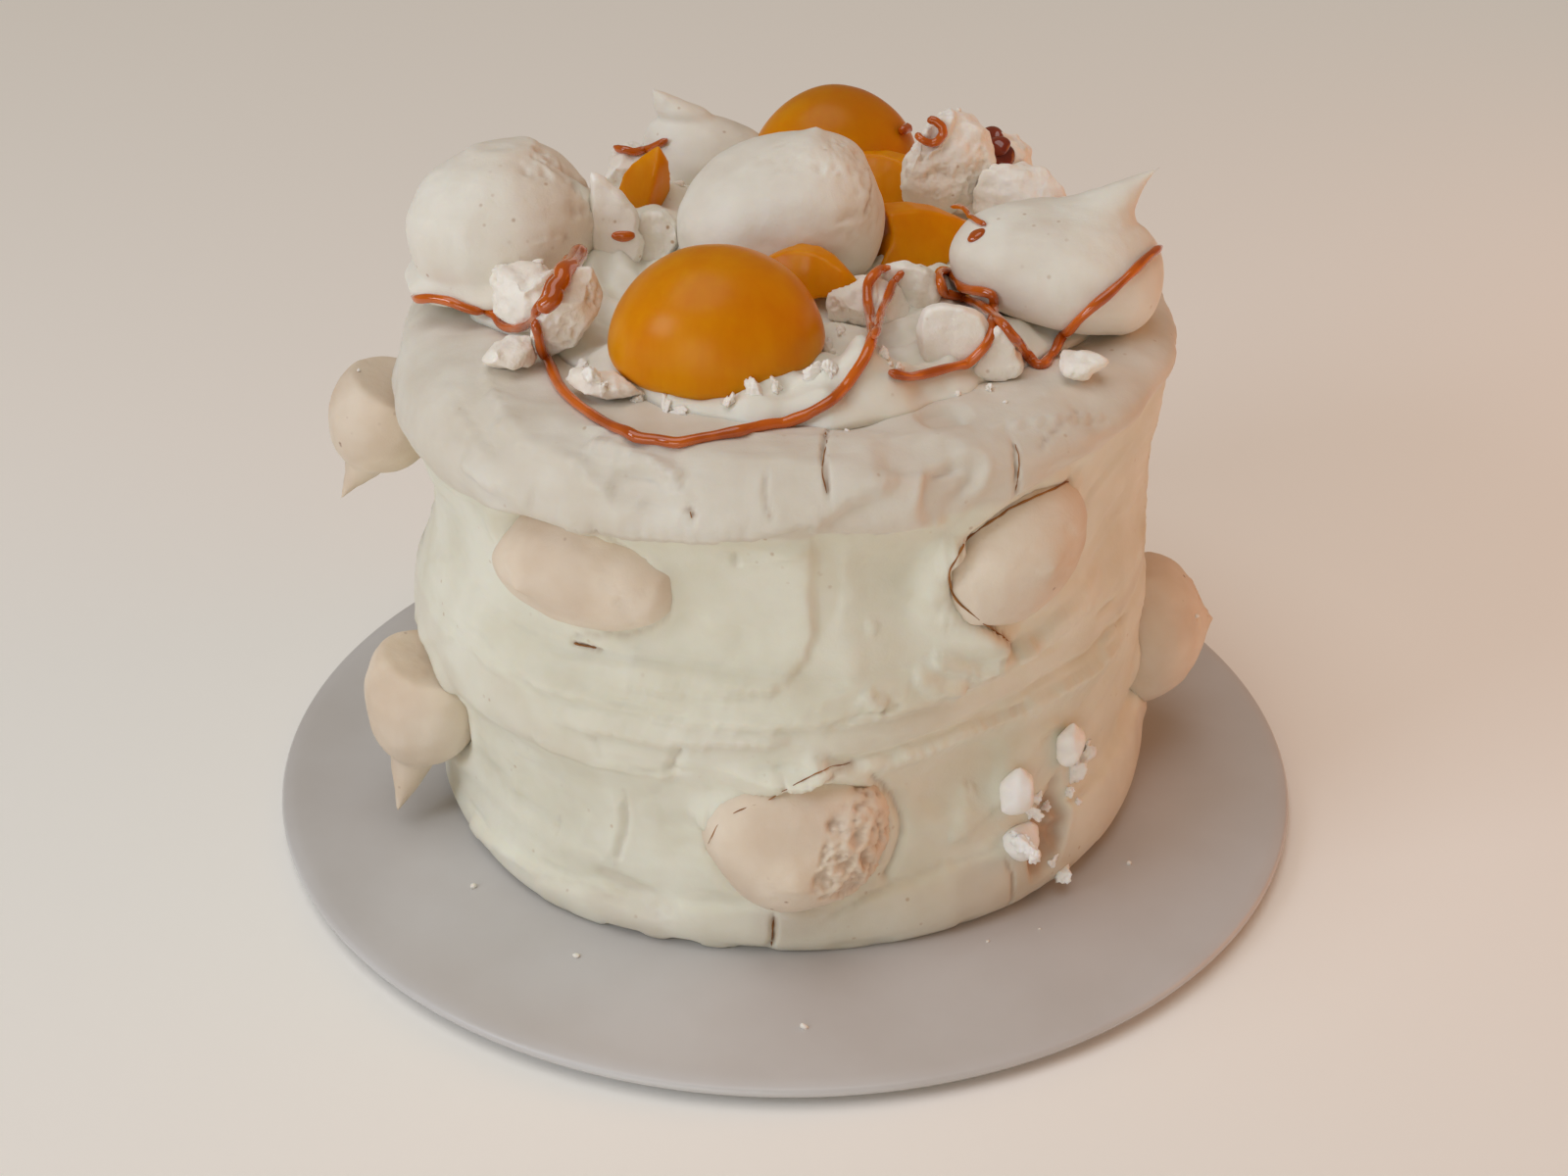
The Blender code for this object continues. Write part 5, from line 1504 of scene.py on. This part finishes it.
# bright chips of meringue stuck low on the right: places in the picture and size in millimetres
chipSpots = (
    ((1058, 812), 3.2), ((1052, 826), 2.4), ((1066, 822), 1.9), ((1096, 786), 3.2), ((1104, 772), 3.0),
    ((1109, 760), 2.0), ((1045, 862), 3.6), ((1036, 852), 2.0), ((1054, 872), 2.0), ((1083, 888), 2.8),
    ((1075, 880), 1.6), ((1090, 806), 1.8), ((1100, 818), 1.6),
)
# crumbs and small torn bits of meringue in the cream below the front peach, given the same way
bitSpots = (
    ((602, 386), 2.6), ((614, 394), 2.2), ((650, 408), 1.8), ((678, 416), 2.6), ((694, 422), 2.0), ((742, 412), 2.4),
    ((768, 402), 2.8), ((790, 392), 2.4), ((834, 380), 2.6), ((848, 360), 2.8), ((858, 338), 2.4), ((846, 376), 1.8),
    ((597, 374), 1.8), ((902, 360), 2.0), ((917, 374), 1.6), ((1010, 398), 1.2),
)


def stickChips(name, spots, material):
    depsgraph = bpy.context.evaluated_depsgraph_get()
    chance = random.Random(len(spots))
    chips = []
    for number, (spot, size) in enumerate(spots):
        place, normal = seenAt(*spot, depsgraph)
        deselectAll()
        bpy.ops.mesh.primitive_ico_sphere_add(subdivisions=4, radius=size / 1000, location=(0, 0, 0))
        chip = bpy.context.object
        places = getPoints(chip)
        # three flat tears, then ragged skin, turned any way
        for _ in range(3):
            way = unit([chance.gauss(0, 1) for _ in range(3)])
            over = places @ way - chance.uniform(0.15, 0.55) * size / 1000
            places[over > 0] -= way * (0.9 * over[over > 0])[:, None]
        shape = 1 + 0.45 * grain(places + 0.017 * (number + 1), size / 1400, 71, 3, 0.6)
        wide, thin = chance.uniform(1.0, 1.5), chance.uniform(0.6, 0.9)
        places = places * shape[:, None] * np.array([wide, thin, 0.9])
        places = moved(places, turned([chance.uniform(0, 360) for _ in range(3)]))
        setPoints(chip, places + np.array(place) + np.array(normal) * size * 0.0001)
        chips.append(chip)
    joined = joinAll(chips)
    setMask(joined, "brownedAndShade", np.zeros(len(joined.data.vertices)))
    finishPiece(joined, name, material, [])


stickChips("meringueChips", chipSpots, whiteChips)
stickChips("meringueBits", bitSpots, brokenMeringue)
print("crumbs done")


# floor and light

def makeFloor():
    deselectAll()
    bpy.ops.mesh.primitive_plane_add(size=60, location=(0, 0, -0.0002))
    floor = bpy.context.object
    floor.name = "floor"
    paper, *_ = newMaterial("PaperPale", {"Base Color": hexColour("#FDFCF8"), "Roughness": 0.9})
    floor.data.materials.append(paper)


lampValues = {
    # place, what it looks at, width, watts, colour
    "key": ((-1.05, -0.70, 0.75), (0, 0, 0.08), 0.50, 4.6, "#E4EFFF"),
    "front": ((-0.45, -1.35, 0.16), (0, 0, 0.04), 0.80, 4.0, "#FAFBF6"),
    "warmSide": ((1.00, 0.05, 0.34), (0, 0, 0.14), 0.70, 2.3, "#FF8A10"),
}
# the studio's ceiling: way it shines, spread in degrees, strength, colour
ceilingValues = {"way": (-0.22, -0.12, 1.0), "spread": 50, "strength": 0.92, "colour": "#FFFFFF"}


def addLamp(name, kind, place, towards, power, colour):
    deselectAll()
    bpy.ops.object.light_add(type=kind, location=place)
    lamp = bpy.context.object
    lamp.name = name
    lamp.data.energy = power
    lamp.data.color = hexColour(colour)[:3]
    lamp.rotation_euler = towards
    return lamp


makeFloor()
for name, (place, target, width, watts, colour) in lampValues.items():
    towards = (Vector(target) - Vector(place)).to_track_quat("-Z", "Y").to_euler()
    addLamp(name, "AREA", place, towards, watts, colour).data.size = width
towards = Vector(ceilingValues["way"]).to_track_quat("Z", "Y").to_euler()
ceiling = addLamp("ceiling", "SUN", (0, 0, 2), towards, ceilingValues["strength"], ceilingValues["colour"])
ceiling.data.angle = math.radians(ceilingValues["spread"])
sky = bpy.data.worlds.new("studio")
scene.world = sky
sky.use_nodes = True
sky.node_tree.nodes["Background"].inputs[0].default_value = hexColour("#F6DCBC")
sky.node_tree.nodes["Background"].inputs[1].default_value = 0.24
scene.view_settings.view_transform = "Standard"
print("light done")
